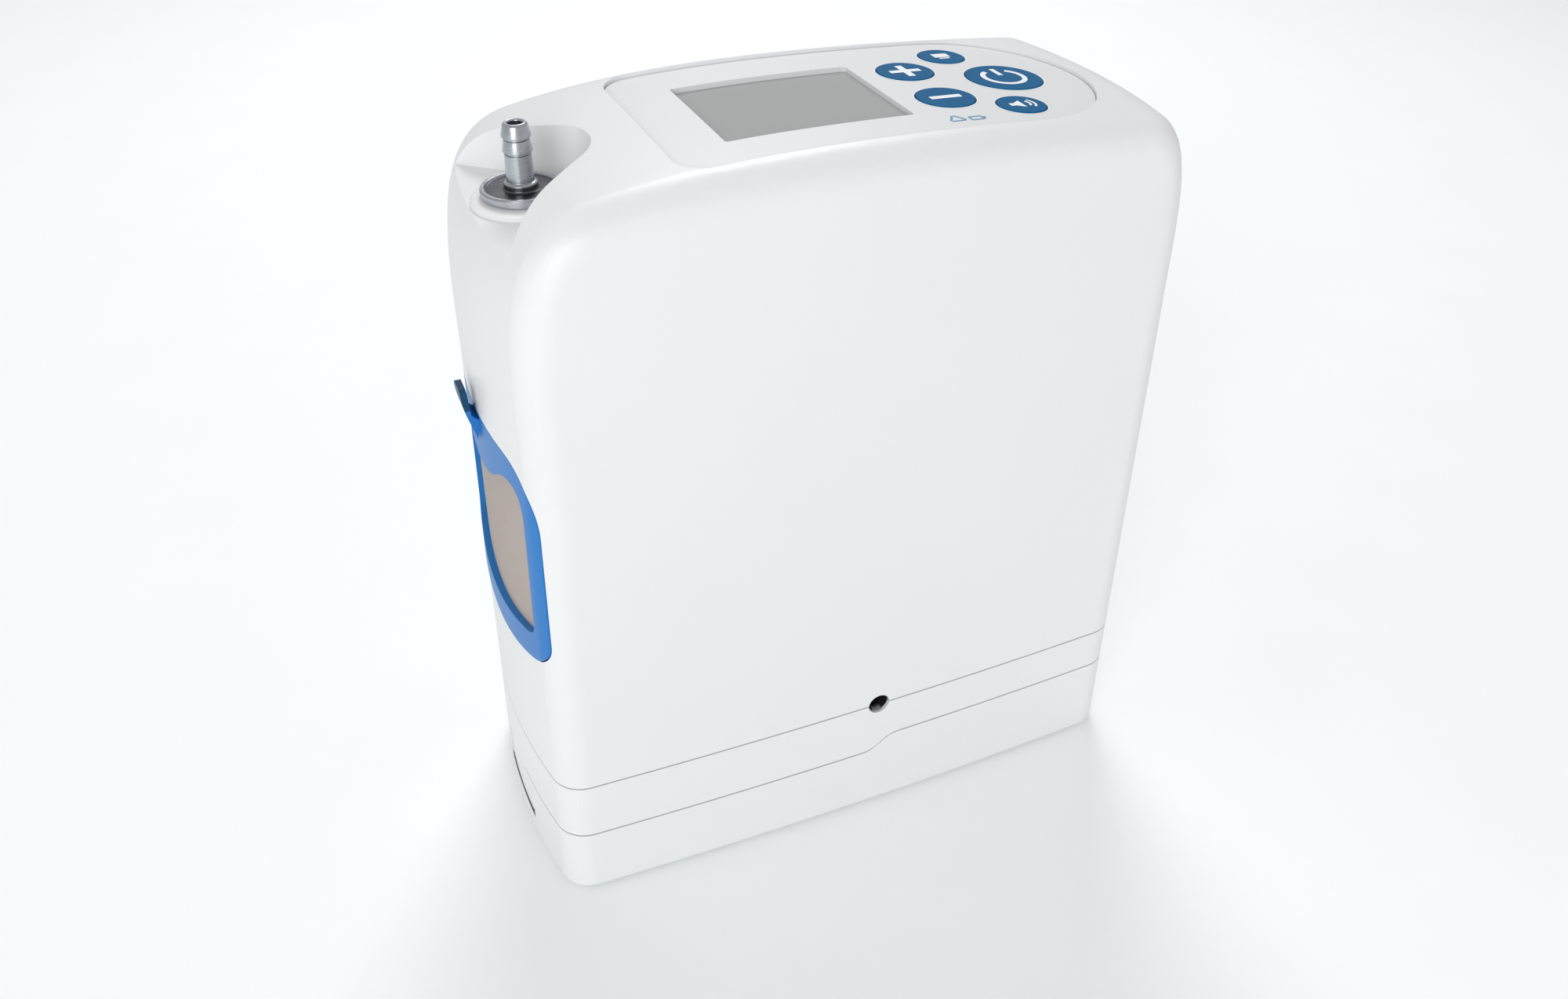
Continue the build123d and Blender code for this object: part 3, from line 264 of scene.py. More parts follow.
def metal(name, colour, gloss=(0.25, 0.4), stretch=(200.0, 200.0, 4000.0), depth=0.000004):
    """Turned, drawn or cast metal with fine marks."""
    if name in MATERIALS:
        return MATERIALS[name]
    made, tree, shader = new_material(name)
    surface = node(tree, "ShaderNodeGroup", node_tree=shared_group("turned_surface"))
    surface.inputs["Colour"].default_value = opaque(colour)
    surface.inputs["Gloss Low"].default_value = gloss[0]
    surface.inputs["Gloss High"].default_value = gloss[1]
    surface.inputs["Stretch"].default_value = stretch
    shader.inputs["Metallic"].default_value = 1.0
    tree.links.new(surface.outputs["Colour"], shader.inputs["Base Color"])
    tree.links.new(surface.outputs["Roughness"], shader.inputs["Roughness"])
    bump(tree, shader, surface.outputs["Height"], depth)
    return made


def masked_colour(tree, shader, mask, other):
    """Lays another colour over the shader's present base colour where the mask is one."""
    present = shader.inputs["Base Color"].links[0].from_socket
    mix = node(tree, "ShaderNodeMix", data_type="RGBA")
    colour_in = [s for s in mix.inputs if s.type == "RGBA"]
    colour_out = [s for s in mix.outputs if s.type == "RGBA"]
    colour_in[1].default_value = opaque(other)
    tree.links.new(mask, mix.inputs["Factor"])
    tree.links.new(present, colour_in[0])
    tree.links.new(colour_out[0], shader.inputs["Base Color"])


def height_mask(tree, low, high):
    """One above the height high, none below low."""
    place = tree.nodes.new("ShaderNodeTexCoord")
    split = tree.nodes.new("ShaderNodeSeparateXYZ")
    ramp = node(tree, "ShaderNodeMapRange", From_Min=low, From_Max=high)
    tree.links.new(place.outputs["Object"], split.inputs[0])
    tree.links.new(split.outputs["Z"], ramp.inputs["Value"])
    return ramp.outputs["Result"]


# ------------------------------------------------------------------ mesh helpers
def paint(material, *nodes):
    """Gives CAD nodes a material in place of the one they were packed with."""
    for name in nodes:
        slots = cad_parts[name].data.materials
        slots.clear()
        slots.append(material)


def new_piece(name, work, material, body):
    """Turns a bmesh into a piece that rides on a body."""
    mesh = bpy.data.meshes.new(name)
    work.to_mesh(mesh)
    work.free()
    mesh.materials.append(material)
    piece = bpy.data.objects.new(name, mesh)
    bpy.context.scene.collection.objects.link(piece)
    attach(piece, body)
    return piece


def merged_copy(name):
    """A bmesh of a CAD node with its loose triangles joined."""
    work = bmesh.new()
    work.from_mesh(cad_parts[name].data)
    bmesh.ops.remove_doubles(work, verts=work.verts, dist=0.000002)
    bmesh.ops.dissolve_degenerate(work, edges=work.edges, dist=0.000001)
    return work


def refined(name, material, body, edge=0.0, angle=32.0):
    """Stands for a CAD node: the same form, with smooth curves and softly rounded rims."""
    piece = new_piece(name + "_shell", merged_copy(name), material, body)
    piece.data.shade_smooth()
    piece.data.set_sharp_from_angle(angle=math.radians(angle))
    if edge:
        rims = piece.modifiers.new("rims", "BEVEL")
        rims.width = edge
        rims.segments = 2
        rims.limit_method = "ANGLE"
        rims.angle_limit = math.radians(50)
        rims.use_clamp_overlap = True
    normals = piece.modifiers.new("normals", "WEIGHTED_NORMAL")
    normals.keep_sharp = True
    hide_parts(name)
    return piece


def surface_under(*nodes):
    """Search tree over the faces of CAD nodes."""
    points = []
    faces = []
    for name in nodes:
        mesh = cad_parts[name].data
        start = len(points)
        points += [v.co.copy() for v in mesh.vertices]
        faces += [[start + i for i in p.vertices] for p in mesh.polygons]
    return BVHTree.FromPolygons(points, faces)


def thicken(work, height, keep_under=False):
    """Raises every face by a height, with side walls, and keeps the faces below if asked."""
    raised = bmesh.ops.extrude_face_region(work, geom=work.faces[:], use_keep_orig=keep_under)
    tops = [part for part in raised["geom"] if isinstance(part, bmesh.types.BMVert)]
    bmesh.ops.translate(work, verts=tops, vec=(0, 0, height))
    bmesh.ops.recalc_face_normals(work, faces=work.faces)


def lay_print(work, under, lift, thickness):
    """Drops a flat shape straight down onto a surface and gives it a little thickness."""
    for vert in work.verts:
        hit = under.ray_cast(Vector((vert.co.x, vert.co.y, 1.0)), Vector((0, 0, -1)))[0]
        if hit:
            vert.co.z = hit.z + lift
    bmesh.ops.recalc_face_normals(work, faces=work.faces)
    if sum(f.normal.z for f in work.faces) < 0:
        bmesh.ops.reverse_faces(work, faces=work.faces)
    thicken(work, thickness, keep_under=True)


def bar(work, place, length, width, turn=0.0):
    """A flat straight stroke centred on place."""
    steps = max(2, int(length / (0.8 * MM)))
    spot = Matrix.Translation((place[0], place[1], 0)) @ Matrix.Rotation(turn, 4, "Z")
    shape = spot @ Matrix.Diagonal((length, width, 1, 1))
    bmesh.ops.create_grid(work, x_segments=steps, y_segments=2, size=0.5, matrix=shape)


def arc(work, place, radius, width, start, sweep, steps=40):
    """A flat curved stroke round place, from the angle start through sweep."""
    inner = radius - width / 2
    turned = Matrix.Translation((place[0], place[1], 0)) @ Matrix.Rotation(start, 4, "Z")
    ends = [work.verts.new(turned @ Vector((r, 0, 0))) for r in (inner, inner + width)]
    edge = work.edges.new(ends)
    bmesh.ops.spin(work, geom=[*ends, edge], cent=(place[0], place[1], 0), axis=(0, 0, 1), angle=sweep,
                   steps=steps, use_merge=abs(sweep) > 6.28)


def block(work, corners):
    """A flat shape with a few corners."""
    work.faces.new([work.verts.new((x, y, 0)) for x, y in corners])


# ------------------------------------------------------------------ materials
def case_white(settings):
    """Satin white of the case shells."""
    return plastic("case_white", settings.shell, gloss=(0.34, 0.42), depth=0.000006, drift=0.012)


def key_blue(settings):
    """Blue of the keys."""
    return plastic("key_blue", settings.key, gloss=(0.46, 0.54), depth=0.000004, drift=0.05, specular=0.06)


def dark_plastic():
    """Near-black filled plastic."""
    return plastic("dark_plastic", (0.012, 0.012, 0.014), gloss=(0.35, 0.5), depth=0.000012, drift=0.1)


def grey_plastic():
    """Structural grey plastic."""
    return plastic("grey_plastic", (0.30, 0.31, 0.32), gloss=(0.38, 0.5), depth=0.000012, drift=0.05)


def soft_silicone():
    """Milky silicone for hoses, seals and the key mat."""
    return plastic("soft_silicone", (0.60, 0.63, 0.64), gloss=(0.42, 0.55), grain=900.0,
                   depth=0.000008, drift=0.06)


def foot_rubber():
    """Dark rubber of the feet and mounts."""
    return plastic("foot_rubber", (0.022, 0.022, 0.024), gloss=(0.6, 0.8), grain=1500.0,
                   depth=0.00003, drift=0.15)


def turned_steel():
    """Plain turned steel of pins, screws and shafts."""
    return metal("turned_steel", (0.52, 0.52, 0.53))


def board_green():
    """Solder mask with faint copper tracks under it."""
    made = plastic("board_green", (0.008, 0.075, 0.026), gloss=(0.22, 0.35), grain=700.0,
                   depth=0.00001, drift=0.2)
    tree = made.node_tree
    place = tree.nodes.new("ShaderNodeTexCoord")
    tracks = node(tree, "ShaderNodeTexBrick", Scale=160.0)
    tracks.inputs["Mortar Size"].default_value = 0.04
    tree.links.new(place.outputs["Object"], tracks.inputs["Vector"])
    masked_colour(tree, tree.nodes["Principled BSDF"], tracks.outputs["Fac"], (0.02, 0.16, 0.05))
    return made


def weave(settings):
    """Open filter cloth: crossed threads with dark gaps between them."""
    made = plastic("filter_weave", settings.weave, gloss=(0.75, 0.9), grain=3000.0, depth=0.00002, drift=0.1)
    tree = made.node_tree
    shader = tree.nodes["Principled BSDF"]
    place = tree.nodes.new("ShaderNodeTexCoord")
    split = tree.nodes.new("ShaderNodeSeparateXYZ")
    tree.links.new(place.outputs["Object"], split.inputs[0])
    threads = []
    for axis in ("Y", "Z"):
        turns = node(tree, "ShaderNodeMath", operation="MULTIPLY")
        turns.inputs[1].default_value = math.pi / settings.thread
        wave = node(tree, "ShaderNodeMath", operation="SINE")
        swell = node(tree, "ShaderNodeMath", operation="ABSOLUTE")
        tree.links.new(split.outputs[axis], turns.inputs[0])
        tree.links.new(turns.outputs[0], wave.inputs[0])
        tree.links.new(wave.outputs[0], swell.inputs[0])
        threads.append(swell.outputs[0])
    cloth = node(tree, "ShaderNodeMath", operation="MAXIMUM")
    gaps = node(tree, "ShaderNodeMapRange", From_Min=0.55, From_Max=0.2)
    tree.links.new(threads[0], cloth.inputs[0])
    tree.links.new(threads[1], cloth.inputs[1])
    tree.links.new(cloth.outputs[0], gaps.inputs["Value"])
    masked_colour(tree, shader, gaps.outputs["Result"], (0.16, 0.135, 0.12))
    bump(tree, shader, cloth.outputs[0], settings.thread / 3)
    return made


def filter_blue(settings):
    """Blue of the filter frames, darker on the pull tabs above them."""
    made = plastic("filter_blue", settings.rim, gloss=(0.36, 0.44), depth=0.000008,
                   drift=0.05, specular=0.25)
    tree = made.node_tree
    window_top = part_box("left_filter_mesh")[1].z
    tab_start = window_top + 8.2 * MM
    mask = height_mask(tree, tab_start, tab_start + 0.4 * MM)
    masked_colour(tree, tree.nodes["Principled BSDF"], mask, settings.tab)
    return made


def nozzle_metal():
    """Satin plated metal, dark in the recess of the flange."""
    made = metal("nozzle_metal", (0.50, 0.52, 0.55), gloss=(0.2, 0.32), stretch=(300.0, 300.0, 6000.0))
    tree = made.node_tree
    axis = centre("outlet_nozzle")
    place = tree.nodes.new("ShaderNodeTexCoord")
    shift = node(tree, "ShaderNodeMapping")
    shift.inputs["Location"].default_value = (-axis.x, -axis.y, 0)
    split = tree.nodes.new("ShaderNodeSeparateXYZ")
    flat = tree.nodes.new("ShaderNodeCombineXYZ")
    reach = node(tree, "ShaderNodeVectorMath", operation="LENGTH")
    ring = node(tree, "ShaderNodeMapRange", From_Min=3.7 * MM, From_Max=3.9 * MM)
    inside = node(tree, "ShaderNodeMapRange", From_Min=8.3 * MM, From_Max=8.1 * MM)
    both = node(tree, "ShaderNodeMath", operation="MULTIPLY")
    link = tree.links.new
    link(place.outputs["Object"], shift.inputs["Vector"])
    link(shift.outputs["Vector"], split.inputs[0])
    link(split.outputs["X"], flat.inputs["X"])
    link(split.outputs["Y"], flat.inputs["Y"])
    link(flat.outputs[0], reach.inputs[0])
    link(reach.outputs["Value"], ring.inputs["Value"])
    link(reach.outputs["Value"], inside.inputs["Value"])
    link(ring.outputs["Result"], both.inputs[0])
    link(inside.outputs["Result"], both.inputs[1])
    masked_colour(tree, tree.nodes["Principled BSDF"], both.outputs[0], (0.10, 0.105, 0.12))
    return made


def screen_glass(settings):
    """Resting grey display with its very fine cell grid."""
    made = plastic("screen_glass", settings.screen, gloss=(0.10, 0.16), grain=300.0,
                   depth=0.000001, drift=0.02)
    tree = made.node_tree
    place = tree.nodes.new("ShaderNodeTexCoord")
    cells = node(tree, "ShaderNodeTexBrick", Scale=1.0, offset=0.0, squash=1.0)
    cells.inputs["Brick Width"].default_value = 0.42 * MM
    cells.inputs["Row Height"].default_value = 0.42 * MM
    cells.inputs["Mortar Size"].default_value = 0.02 * MM
    tree.links.new(place.outputs["Object"], cells.inputs["Vector"])
    fine = [c * 0.93 for c in settings.screen]
    masked_colour(tree, tree.nodes["Principled BSDF"], cells.outputs["Fac"], fine)
    return made


# ------------------------------------------------------------------ operators
class OXYGEN_OT_case(bpy.types.Operator):
    """Case shells with softly rounded rims, and the lips inside their seams"""

    bl_idname = "oxygen_unit.case"
    bl_label = "Case"

    def execute(self, context):
        settings = context.scene.oxygen_case
        white = case_white(settings)
        # The lips are coloured dark grey as painted shade in the seams.
        lip = plastic("seam_shade_grey", settings.lip, gloss=(0.45, 0.55), depth=0.000008, drift=0.04)
        refined("main_housing", white, "unit", edge=settings.edge)
        refined("base_band", white, "unit", edge=settings.edge)
        refined("battery_case", white, "battery", edge=settings.edge)
        refined("battery_latch", white, "battery_latch", edge=settings.edge)
        self.seam_lip("base_band", "upper_seam_lip", "unit", lip, settings)
        self.seam_lip("battery_case", "lower_seam_lip", "battery", lip, settings)
        return {"FINISHED"}

    def seam_lip(self, name, lip_name, body, material, settings):
        """A locating lip on a shell's upper rim, which closes the seam against light; its dark grey is
        painted shade in the seam.
        """
        work = merged_copy(name)
        work.normal_update()
        low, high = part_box(name)
        level = 0.9
        lowest = high.z - 6.5 * MM
        rim = [f for f in work.faces if f.normal.z >= level and f.calc_center_median().z >= lowest]
        wall = {f for f in rim if self.on_wall(f, high)}
        bmesh.ops.delete(work, geom=[f for f in work.faces if f not in wall], context="FACES")
        half = (high - low) / 2
        shrink = ((half.x - settings.lip_inset) / half.x, (half.y - settings.lip_inset) / half.y, 1)
        bmesh.ops.scale(work, verts=work.verts, vec=shrink)
        thicken(work, settings.lip_height)
        new_piece(lip_name, work, material, body)

    def on_wall(self, face, high):
        """True for a face that belongs to the outer wall's rim."""
        middle = face.calc_center_median()
        from_end = high.x - abs(middle.x)
        from_side = high.y - abs(middle.y)
        end_reach = 6.2 * MM
        side_reach = 5.2 * MM
        corner_reach = (14.5 * MM, 9.5 * MM)
        in_corner = from_end < corner_reach[0] and from_side < corner_reach[1]
        return from_end < end_reach or from_side < side_reach or in_corner


class OXYGEN_OT_panel(bpy.types.Operator):
    """Control panel, display and notice print"""

    bl_idname = "oxygen_unit.panel"
    bl_label = "Control panel"

    def execute(self, context):
        settings = context.scene.oxygen_panel
        face = plastic("panel_white", settings.panel, gloss=(0.36, 0.44), depth=0.000005, drift=0.012)
        refined("control_panel", face, "unit", edge=0.12 * MM)
        paint(screen_glass(settings), "lcd_window")
        paint(dark_plastic(), "lcd_module")
        self.notice(settings)
        return {"FINISHED"}

    def notice(self, settings):
        """Small printed notice: an outlined triangle beside a cell outline."""
        ink = plastic("notice_ink", settings.notice, gloss=(0.4, 0.5), depth=0.000003, drift=0.05)
        keys = centre("minus_button")
        spot = Vector((keys.x - 5.0 * MM, keys.y - 14.6 * MM))
        work = bmesh.new()
        stroke = 0.6 * MM
        tall = 2.3 * MM
        side_length = 3.6 * MM
        for turn in (90, 210, 330):
            side = math.radians(turn)
            off = Vector((math.cos(side), math.sin(side))) * tall * 0.55
            bar(work, spot - off, side_length, stroke, turn=side + math.pi / 2)
        cell = spot + Vector((5.0 * MM, -0.6 * MM))
        level = [(0, 1.0, 3.4), (0, -1.0, 3.4)]
        upright = [(-1.6, 0, 1.8), (1.6, 0, 1.8), (2.1, 0, 0.9)]
        for strokes, turn in ((level, 0), (upright, math.pi / 2)):
            for x, y, length in strokes:
                bar(work, cell + Vector((x, y)) * MM, length * MM, stroke, turn=turn)
        lay_print(work, surface_under("control_panel"), settings.ink, settings.ink)
        new_piece("notice_print", work, ink, "unit")


class OXYGEN_OT_keys(bpy.types.Operator):
    """Keys with their printed symbols and the pale rims round them"""

    bl_idname = "oxygen_unit.keys"
    bl_label = "Keys"

    def execute(self, context):
        settings = context.scene.oxygen_panel
        blue = key_blue(settings)
        white = plastic("symbol_white", settings.symbol, gloss=(0.4, 0.5), depth=0.000003, drift=0.02)
        hidden_flange = 0.9 * MM
        rim_gap = 0.45 * MM
        symbols = {
            "plus_button": self.plus,
            "minus_button": self.minus,
            "power_button": self.power,
            "alert_button": self.speaker,
            "light_button": self.lamp,
        }
        rims = bmesh.new()
        for name, draw in symbols.items():
            refined(name, blue, name, edge=0.18 * MM)
            work = bmesh.new()
            draw(work, centre(name))
            lay_print(work, surface_under(name), settings.ink, settings.ink)
            new_piece(name.replace("button", "symbol"), work, white, name)
            low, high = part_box(name)
            cap_radius = (high.x - low.x) / 2 - hidden_flange
            arc(rims, centre(name), cap_radius + rim_gap, settings.rim, 0, math.tau, steps=64)
        lay_print(rims, surface_under("control_panel"), settings.ink, settings.ink)
        new_piece("key_rims", rims, white, "unit")
        return {"FINISHED"}

    def plus(self, work, at):
        """Crossed strokes."""
        bmesh.ops.create_grid(work, x_segments=3, y_segments=3, size=0.5)
        corners = [f for f in work.faces if abs(f.calc_center_median().x * f.calc_center_median().y) > 0.05]
        bmesh.ops.delete(work, geom=corners, context="FACES")
        half = 4.3 * MM
        stroke = 0.95 * MM
        for vert in work.verts:
            vert.co.x = math.copysign(half if abs(vert.co.x) > 0.3 else stroke, vert.co.x)
            vert.co.y = math.copysign(half if abs(vert.co.y) > 0.3 else stroke, vert.co.y)
        bmesh.ops.subdivide_edges(work, edges=work.edges, cuts=3, use_grid_fill=True)
        bmesh.ops.translate(work, verts=work.verts, vec=(at.x, at.y, 0))

    def minus(self, work, at):
        """One stroke."""
        bar(work, at, 8.4 * MM, 1.9 * MM)

    def power(self, work, at):
        """Open ring with a stroke through its gap."""
        arc(work, at, 5.4 * MM, 1.35 * MM, math.radians(122), math.radians(296), steps=56)
        bar(work, at + Vector((0, 4.0 * MM, 0)), 5.2 * MM, 1.35 * MM, turn=math.pi / 2)

    def speaker(self, work, at):
        """Horn with two sound arcs."""
        bar(work, at + Vector((-2.6 * MM, 0, 0)), 1.3 * MM, 1.7 * MM)
        throat = at.x - 1.9 * MM
        mouth = throat + 2.1 * MM
        narrow = 0.85 * MM
        wide = 2.3 * MM
        front = [(throat, at.y - narrow), (mouth, at.y - wide)]
        rear = [(mouth, at.y + wide), (throat, at.y + narrow)]
        block(work, front + rear)
        for radius in (2.2 * MM, 3.5 * MM):
            arc(work, at, radius, 0.62 * MM, math.radians(-42), math.radians(84), steps=16)

    def lamp(self, work, at):
        """Lit display: a filled window over a short foot."""
        bar(work, at + Vector((0, 0.5 * MM, 0)), 4.6 * MM, 3.0 * MM)
        bar(work, at + Vector((0, -1.9 * MM, 0)), 3.0 * MM, 0.7 * MM)


class OXYGEN_OT_outlet(bpy.types.Operator):
    """Turned metal outlet with its recessed flange and barbs"""

    bl_idname = "oxygen_unit.outlet"
    bl_label = "Oxygen outlet"

    def execute(self, context):
        low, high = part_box("outlet_nozzle")
        axis = (low + high) / 2
        flange = (high.x - low.x) / 2
        top = high.z
        seat = top - 17.2 * MM
        tray = seat + 1.7 * MM
        rim = seat + 2.25 * MM
        bore = 1.7 * MM
        socket_radius = 4.0 * MM
        barb = 3.4 * MM
        barb_lip = 3.35 * MM
        upper_neck = 2.65 * MM
        lower_neck = 2.7 * MM
        below = [(bore, low.z), (socket_radius, low.z), (socket_radius, seat)]
        flange_outline = [
            (flange - 0.4 * MM, seat),
            (flange, seat + 0.4 * MM),
            (flange, seat + 1.8 * MM),
            (flange - 0.3 * MM, rim),
            (flange - 0.95 * MM, rim),
            (flange - 1.25 * MM, tray),
        ]
        root = [
            (4.2 * MM, tray),
            (3.9 * MM, seat + 2.0 * MM),
            (3.85 * MM, seat + 3.1 * MM),
            (3.5 * MM, seat + 3.5 * MM),
            (3.2 * MM, seat + 3.6 * MM),
            (3.05 * MM, top - 7.3 * MM),
        ]
        lower_barb = [
            (lower_neck, top - 7.2 * MM),
            (lower_neck, top - 6.7 * MM),
            (barb, top - 6.6 * MM),
            (barb_lip, top - 6.1 * MM),
            (2.95 * MM, top - 3.9 * MM),
        ]
        upper_barb = [
            (upper_neck, top - 3.8 * MM),
            (upper_neck, top - 3.3 * MM),
            (barb, top - 3.2 * MM),
            (barb_lip, top - 2.7 * MM),
            (2.85 * MM, top - 0.5 * MM),
        ]
        mouth = [(2.4 * MM, top), (2.0 * MM, top), (bore, top - 0.3 * MM)]
        profile = below + flange_outline + root + lower_barb + upper_barb + mouth
        work = bmesh.new()
        ring = [work.verts.new((axis.x + r, axis.y, z)) for r, z in profile]
        edges = [work.edges.new((a, b)) for a, b in zip(ring, ring[1:] + ring[:1])]
        bmesh.ops.spin(work, geom=ring + edges, cent=axis, axis=(0, 0, 1), angle=math.tau, steps=96,
                       use_merge=True)
        bmesh.ops.remove_doubles(work, verts=work.verts, dist=0.000001)
        bmesh.ops.recalc_face_normals(work, faces=work.faces)
        piece = new_piece("outlet_nozzle_turned", work, nozzle_metal(), "unit")
        piece.data.shade_smooth()
        piece.data.set_sharp_from_angle(angle=math.radians(28))
        rims = piece.modifiers.new("rims", "BEVEL")
        rims.width = 0.07 * MM
        rims.segments = 2
        rims.angle_limit = math.radians(35)
        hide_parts("outlet_nozzle")
        paint(soft_silicone(), "nozzle_seal", "outlet_hose")
        return {"FINISHED"}


class OXYGEN_OT_filters(bpy.types.Operator):
    """Blue filter frames with their pull tabs, and the woven filter cloth"""

    bl_idname = "oxygen_unit.filters"
    bl_label = "Intake filters"

    def execute(self, context):
        settings = context.scene.oxygen_filter
        cloth = weave(settings)
        blue = filter_blue(settings)
        for side in ("left", "right"):
            refined(f"{side}_filter_frame", blue, f"{side}_filter", edge=0.25 * MM)
            paint(cloth, f"{side}_filter_mesh")
        return {"FINISHED"}


class OXYGEN_OT_power(bpy.types.Operator):
    """Battery, its feet and contacts, and the power inlet"""

    bl_idname = "oxygen_unit.power"
    bl_label = "Battery and inlet"

    def execute(self, context):
        steel = turned_steel()
        paint(grey_plastic(), "battery_lid")
        paint(dark_plastic(), "battery_socket", "battery_connector", "dc_jack")
        paint(foot_rubber(), "battery_feet")
        paint(steel, "latch_pin", "dc_pin")
        sleeve = plastic("cell_sleeve", (0.010, 0.10, 0.34), gloss=(0.18, 0.3), grain=500.0,
                         depth=0.00002, drift=0.1)
        paint(sleeve, "battery_cells")
        paint(board_green(), "battery_board")
        return {"FINISHED"}


class OXYGEN_OT_inside(bpy.types.Operator):
    """Finishes of the compressor, gas circuit, fan, chassis and boards"""

    bl_idname = "oxygen_unit.inside"
    bl_label = "Inside"

    def execute(self, context):
        steel = turned_steel()
        cast = metal("cast_aluminium", (0.58, 0.59, 0.60), gloss=(0.4, 0.6), stretch=(900.0, 900.0, 900.0),
                     depth=0.00004)
        drawn = metal("drawn_aluminium", (0.62, 0.63, 0.64), gloss=(0.25, 0.38),
                      stretch=(3000.0, 3000.0, 60.0))
        copper = metal("copper_winding", (0.55, 0.19, 0.07), gloss=(0.25, 0.35),
                       stretch=(1800.0, 500.0, 1800.0), depth=0.00015)
        beads = plastic("zeolite_beads", (0.66, 0.58, 0.45), gloss=(0.8, 0.9), grain=800.0,
                        depth=0.0004, drift=0.2)
        slide = plastic("piston_plastic", (0.03, 0.03, 0.034), gloss=(0.3, 0.4), depth=0.000006, drift=0.1)
        paint(grey_plastic(), "chassis", "product_tank", "output_filter")
        paint(board_green(), "main_board", "ui_board")
        paint(dark_plastic(), "board_components", "buzzer", "column_caps", "column_base", "valve_manifold",
              "fan_frame", "fan_rotor")
        paint(soft_silicone(), "feed_hoses", "keypad_membrane")
        paint(foot_rubber(), "pump_isolators")
        paint(cast, "crankcase", "crankcase_cover", "pump_cylinders", "cylinder_heads")
        paint(drawn, "sieve_tubes", "motor_can")
        paint(steel, "base_screws", "cover_screws", "crankshaft", "crank_bearings", "motor_rotor",
              "bed_springs", "solenoid_valves")
        paint(slide, "left_piston", "right_piston")
        paint(copper, "motor_stator")
        paint(beads, "zeolite_beds")
        return {"FINISHED"}


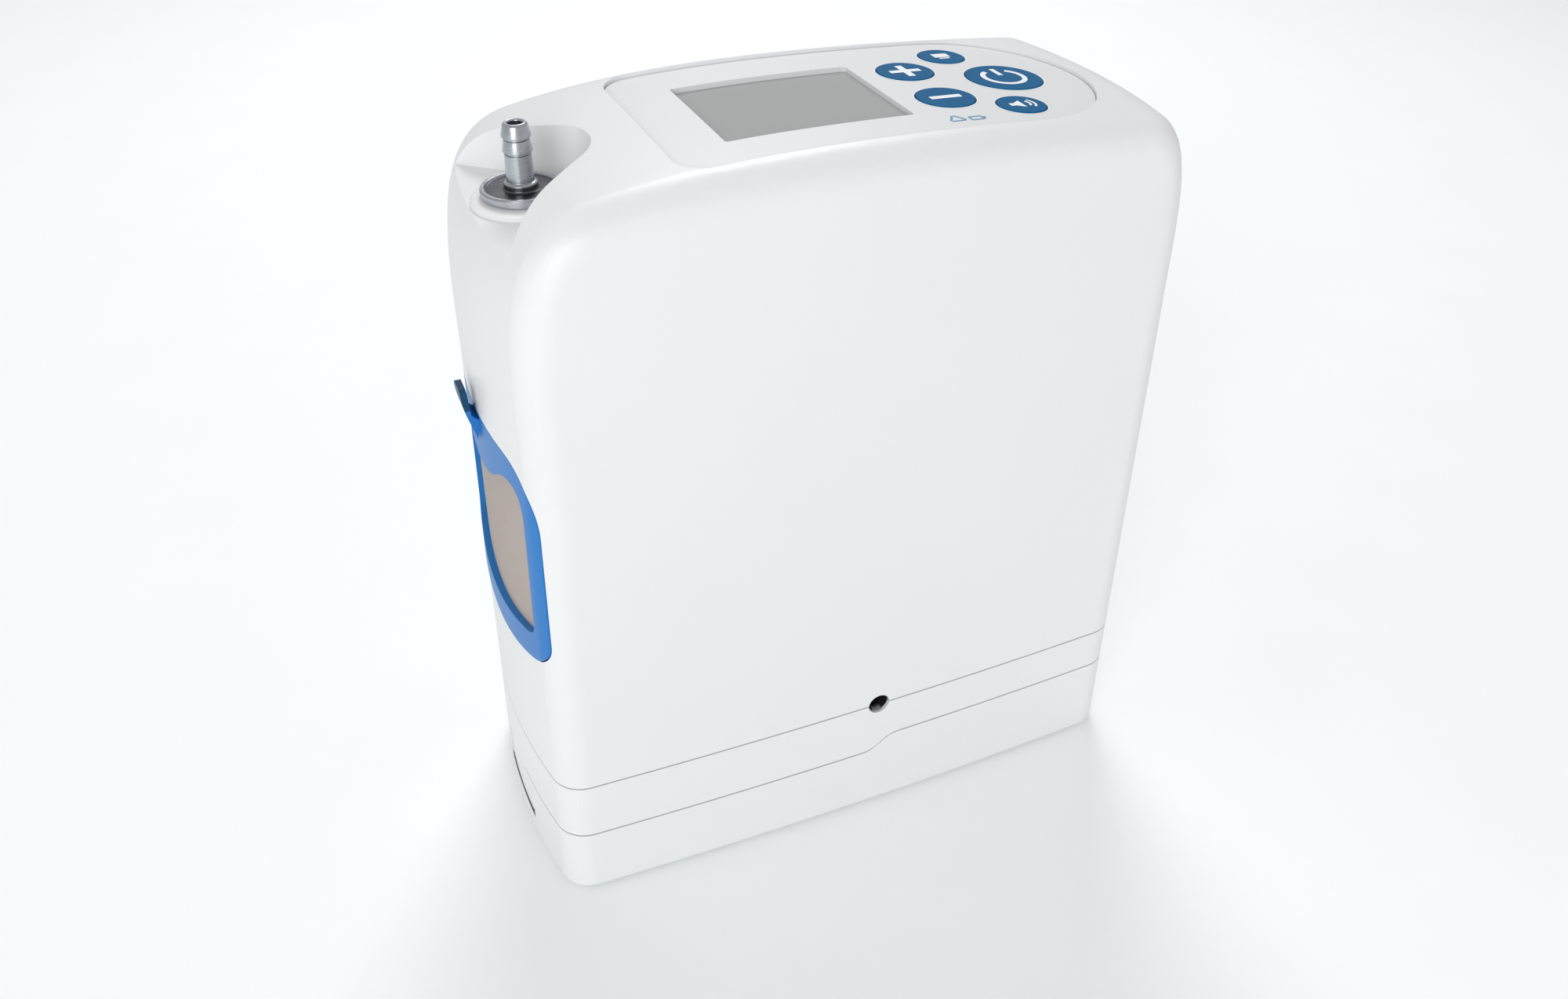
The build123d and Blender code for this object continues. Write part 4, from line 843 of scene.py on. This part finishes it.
class OXYGEN_OT_stage(bpy.types.Operator):
    """Plain pale floor, soft studio light and the camera"""

    bl_idname = "oxygen_unit.stage"
    bl_label = "Studio"

    def execute(self, context):
        settings = context.scene.oxygen_studio
        self.floor(settings)
        before_left = (-0.98, -1.42, 0.75)
        behind_right = (0.35, 0.95, 1.25)
        self.area_light("front_light", before_left, 1.3, settings.key_power)
        self.area_light("back_light", behind_right, 0.7, settings.fill_power)
        world = context.scene.world or bpy.data.worlds.new("studio_air")
        context.scene.world = world
        world.use_nodes = True
        air = world.node_tree.nodes["Background"]
        air.inputs["Color"].default_value = (0.98, 0.99, 1.0, 1)
        air.inputs["Strength"].default_value = settings.sky
        context.scene.view_settings.view_transform = "Standard"
        self.camera(context)
        return {"FINISHED"}

    def floor(self, settings):
        """Wide pale sheet just under the feet."""
        work = bmesh.new()
        bmesh.ops.create_grid(work, x_segments=8, y_segments=8, size=4.0)
        mesh = bpy.data.meshes.new("floor")
        work.to_mesh(mesh)
        work.free()
        matt = plastic("floor_sheet", settings.floor, gloss=(0.7, 0.8), grain=400.0, drift=0.01, specular=0.2)
        mesh.materials.append(matt)
        sheet = bpy.data.objects.new("floor", mesh)
        bpy.context.scene.collection.objects.link(sheet)

    def area_light(self, name, place, size, power):
        """Large soft light aimed at the unit."""
        lamp = bpy.data.lights.new(name, "AREA")
        lamp.shape = "DISK"
        lamp.size = size
        lamp.energy = power
        holder = bpy.data.objects.new(name, lamp)
        holder.location = place
        aim = Vector((0, 0, 0.1)) - Vector(place)
        holder.rotation_euler = aim.to_track_quat("-Z", "Y").to_euler()
        bpy.context.scene.collection.objects.link(holder)

    def camera(self, context):
        """Camera above and to the left of the front, close enough for strong perspective."""
        azimuth = -0.4286
        elevation = 0.5648
        roll = 0.0206
        distance = 372.15 * MM
        target = Vector((0, 0, 112.955 * MM))
        back = Vector((math.sin(azimuth) * math.cos(elevation), -math.cos(azimuth) * math.cos(elevation),
                       math.sin(elevation)))
        level = (-back).cross(Vector((0, 0, 1))).normalized()
        upright = level.cross(-back)
        right = math.cos(roll) * level + math.sin(roll) * upright
        up = math.cos(roll) * upright - math.sin(roll) * level
        lens = bpy.data.cameras.new("view")
        lens.sensor_width = 36.0
        lens.lens = 30.61
        lens.shift_x = -0.0156
        lens.shift_y = -0.0493
        lens.clip_start = 0.01
        holder = bpy.data.objects.new("view", lens)
        turn = Matrix((right, up, back)).transposed()
        holder.matrix_world = Matrix.Translation(target + back * distance) @ turn.to_4x4()
        context.scene.collection.objects.link(holder)
        context.scene.camera = holder


class OXYGEN_PT_sidebar(bpy.types.Panel):
    """Lists the build steps and their settings"""

    bl_idname = "OXYGEN_PT_sidebar"
    bl_label = "Oxygen concentrator"
    bl_space_type = "VIEW_3D"
    bl_region_type = "UI"
    bl_category = "Concentrator"

    def draw(self, context):
        layout = self.layout
        for step in STEPS:
            layout.operator(step.bl_idname)
        for group in (context.scene.oxygen_case, context.scene.oxygen_panel, context.scene.oxygen_filter,
                      context.scene.oxygen_studio):
            box = layout.box()
            for name in group.__annotations__:
                box.prop(group, name)


STEPS = (
    OXYGEN_OT_stage,
    OXYGEN_OT_case,
    OXYGEN_OT_panel,
    OXYGEN_OT_keys,
    OXYGEN_OT_outlet,
    OXYGEN_OT_filters,
    OXYGEN_OT_power,
    OXYGEN_OT_inside,
)
SETTINGS = {
    "oxygen_case": CaseSettings,
    "oxygen_panel": PanelSettings,
    "oxygen_filter": FilterSettings,
    "oxygen_studio": StudioSettings,
}


def register():
    """Adds the settings, operators and sidebar panel."""
    for kind in (*SETTINGS.values(), *STEPS, OXYGEN_PT_sidebar):
        bpy.utils.register_class(kind)
    for name, kind in SETTINGS.items():
        setattr(bpy.types.Scene, name, PointerProperty(type=kind))


def unregister():
    """Takes them away again."""
    for name in SETTINGS:
        delattr(bpy.types.Scene, name)
    for kind in reversed((*SETTINGS.values(), *STEPS, OXYGEN_PT_sidebar)):
        bpy.utils.unregister_class(kind)


def main():
    """Runs every step."""
    register()
    bpy.ops.oxygen_unit.stage()
    bpy.ops.oxygen_unit.case()
    bpy.ops.oxygen_unit.panel()
    bpy.ops.oxygen_unit.keys()
    bpy.ops.oxygen_unit.outlet()
    bpy.ops.oxygen_unit.filters()
    bpy.ops.oxygen_unit.power()
    bpy.ops.oxygen_unit.inside()


if __name__ == "__main__":
    main()
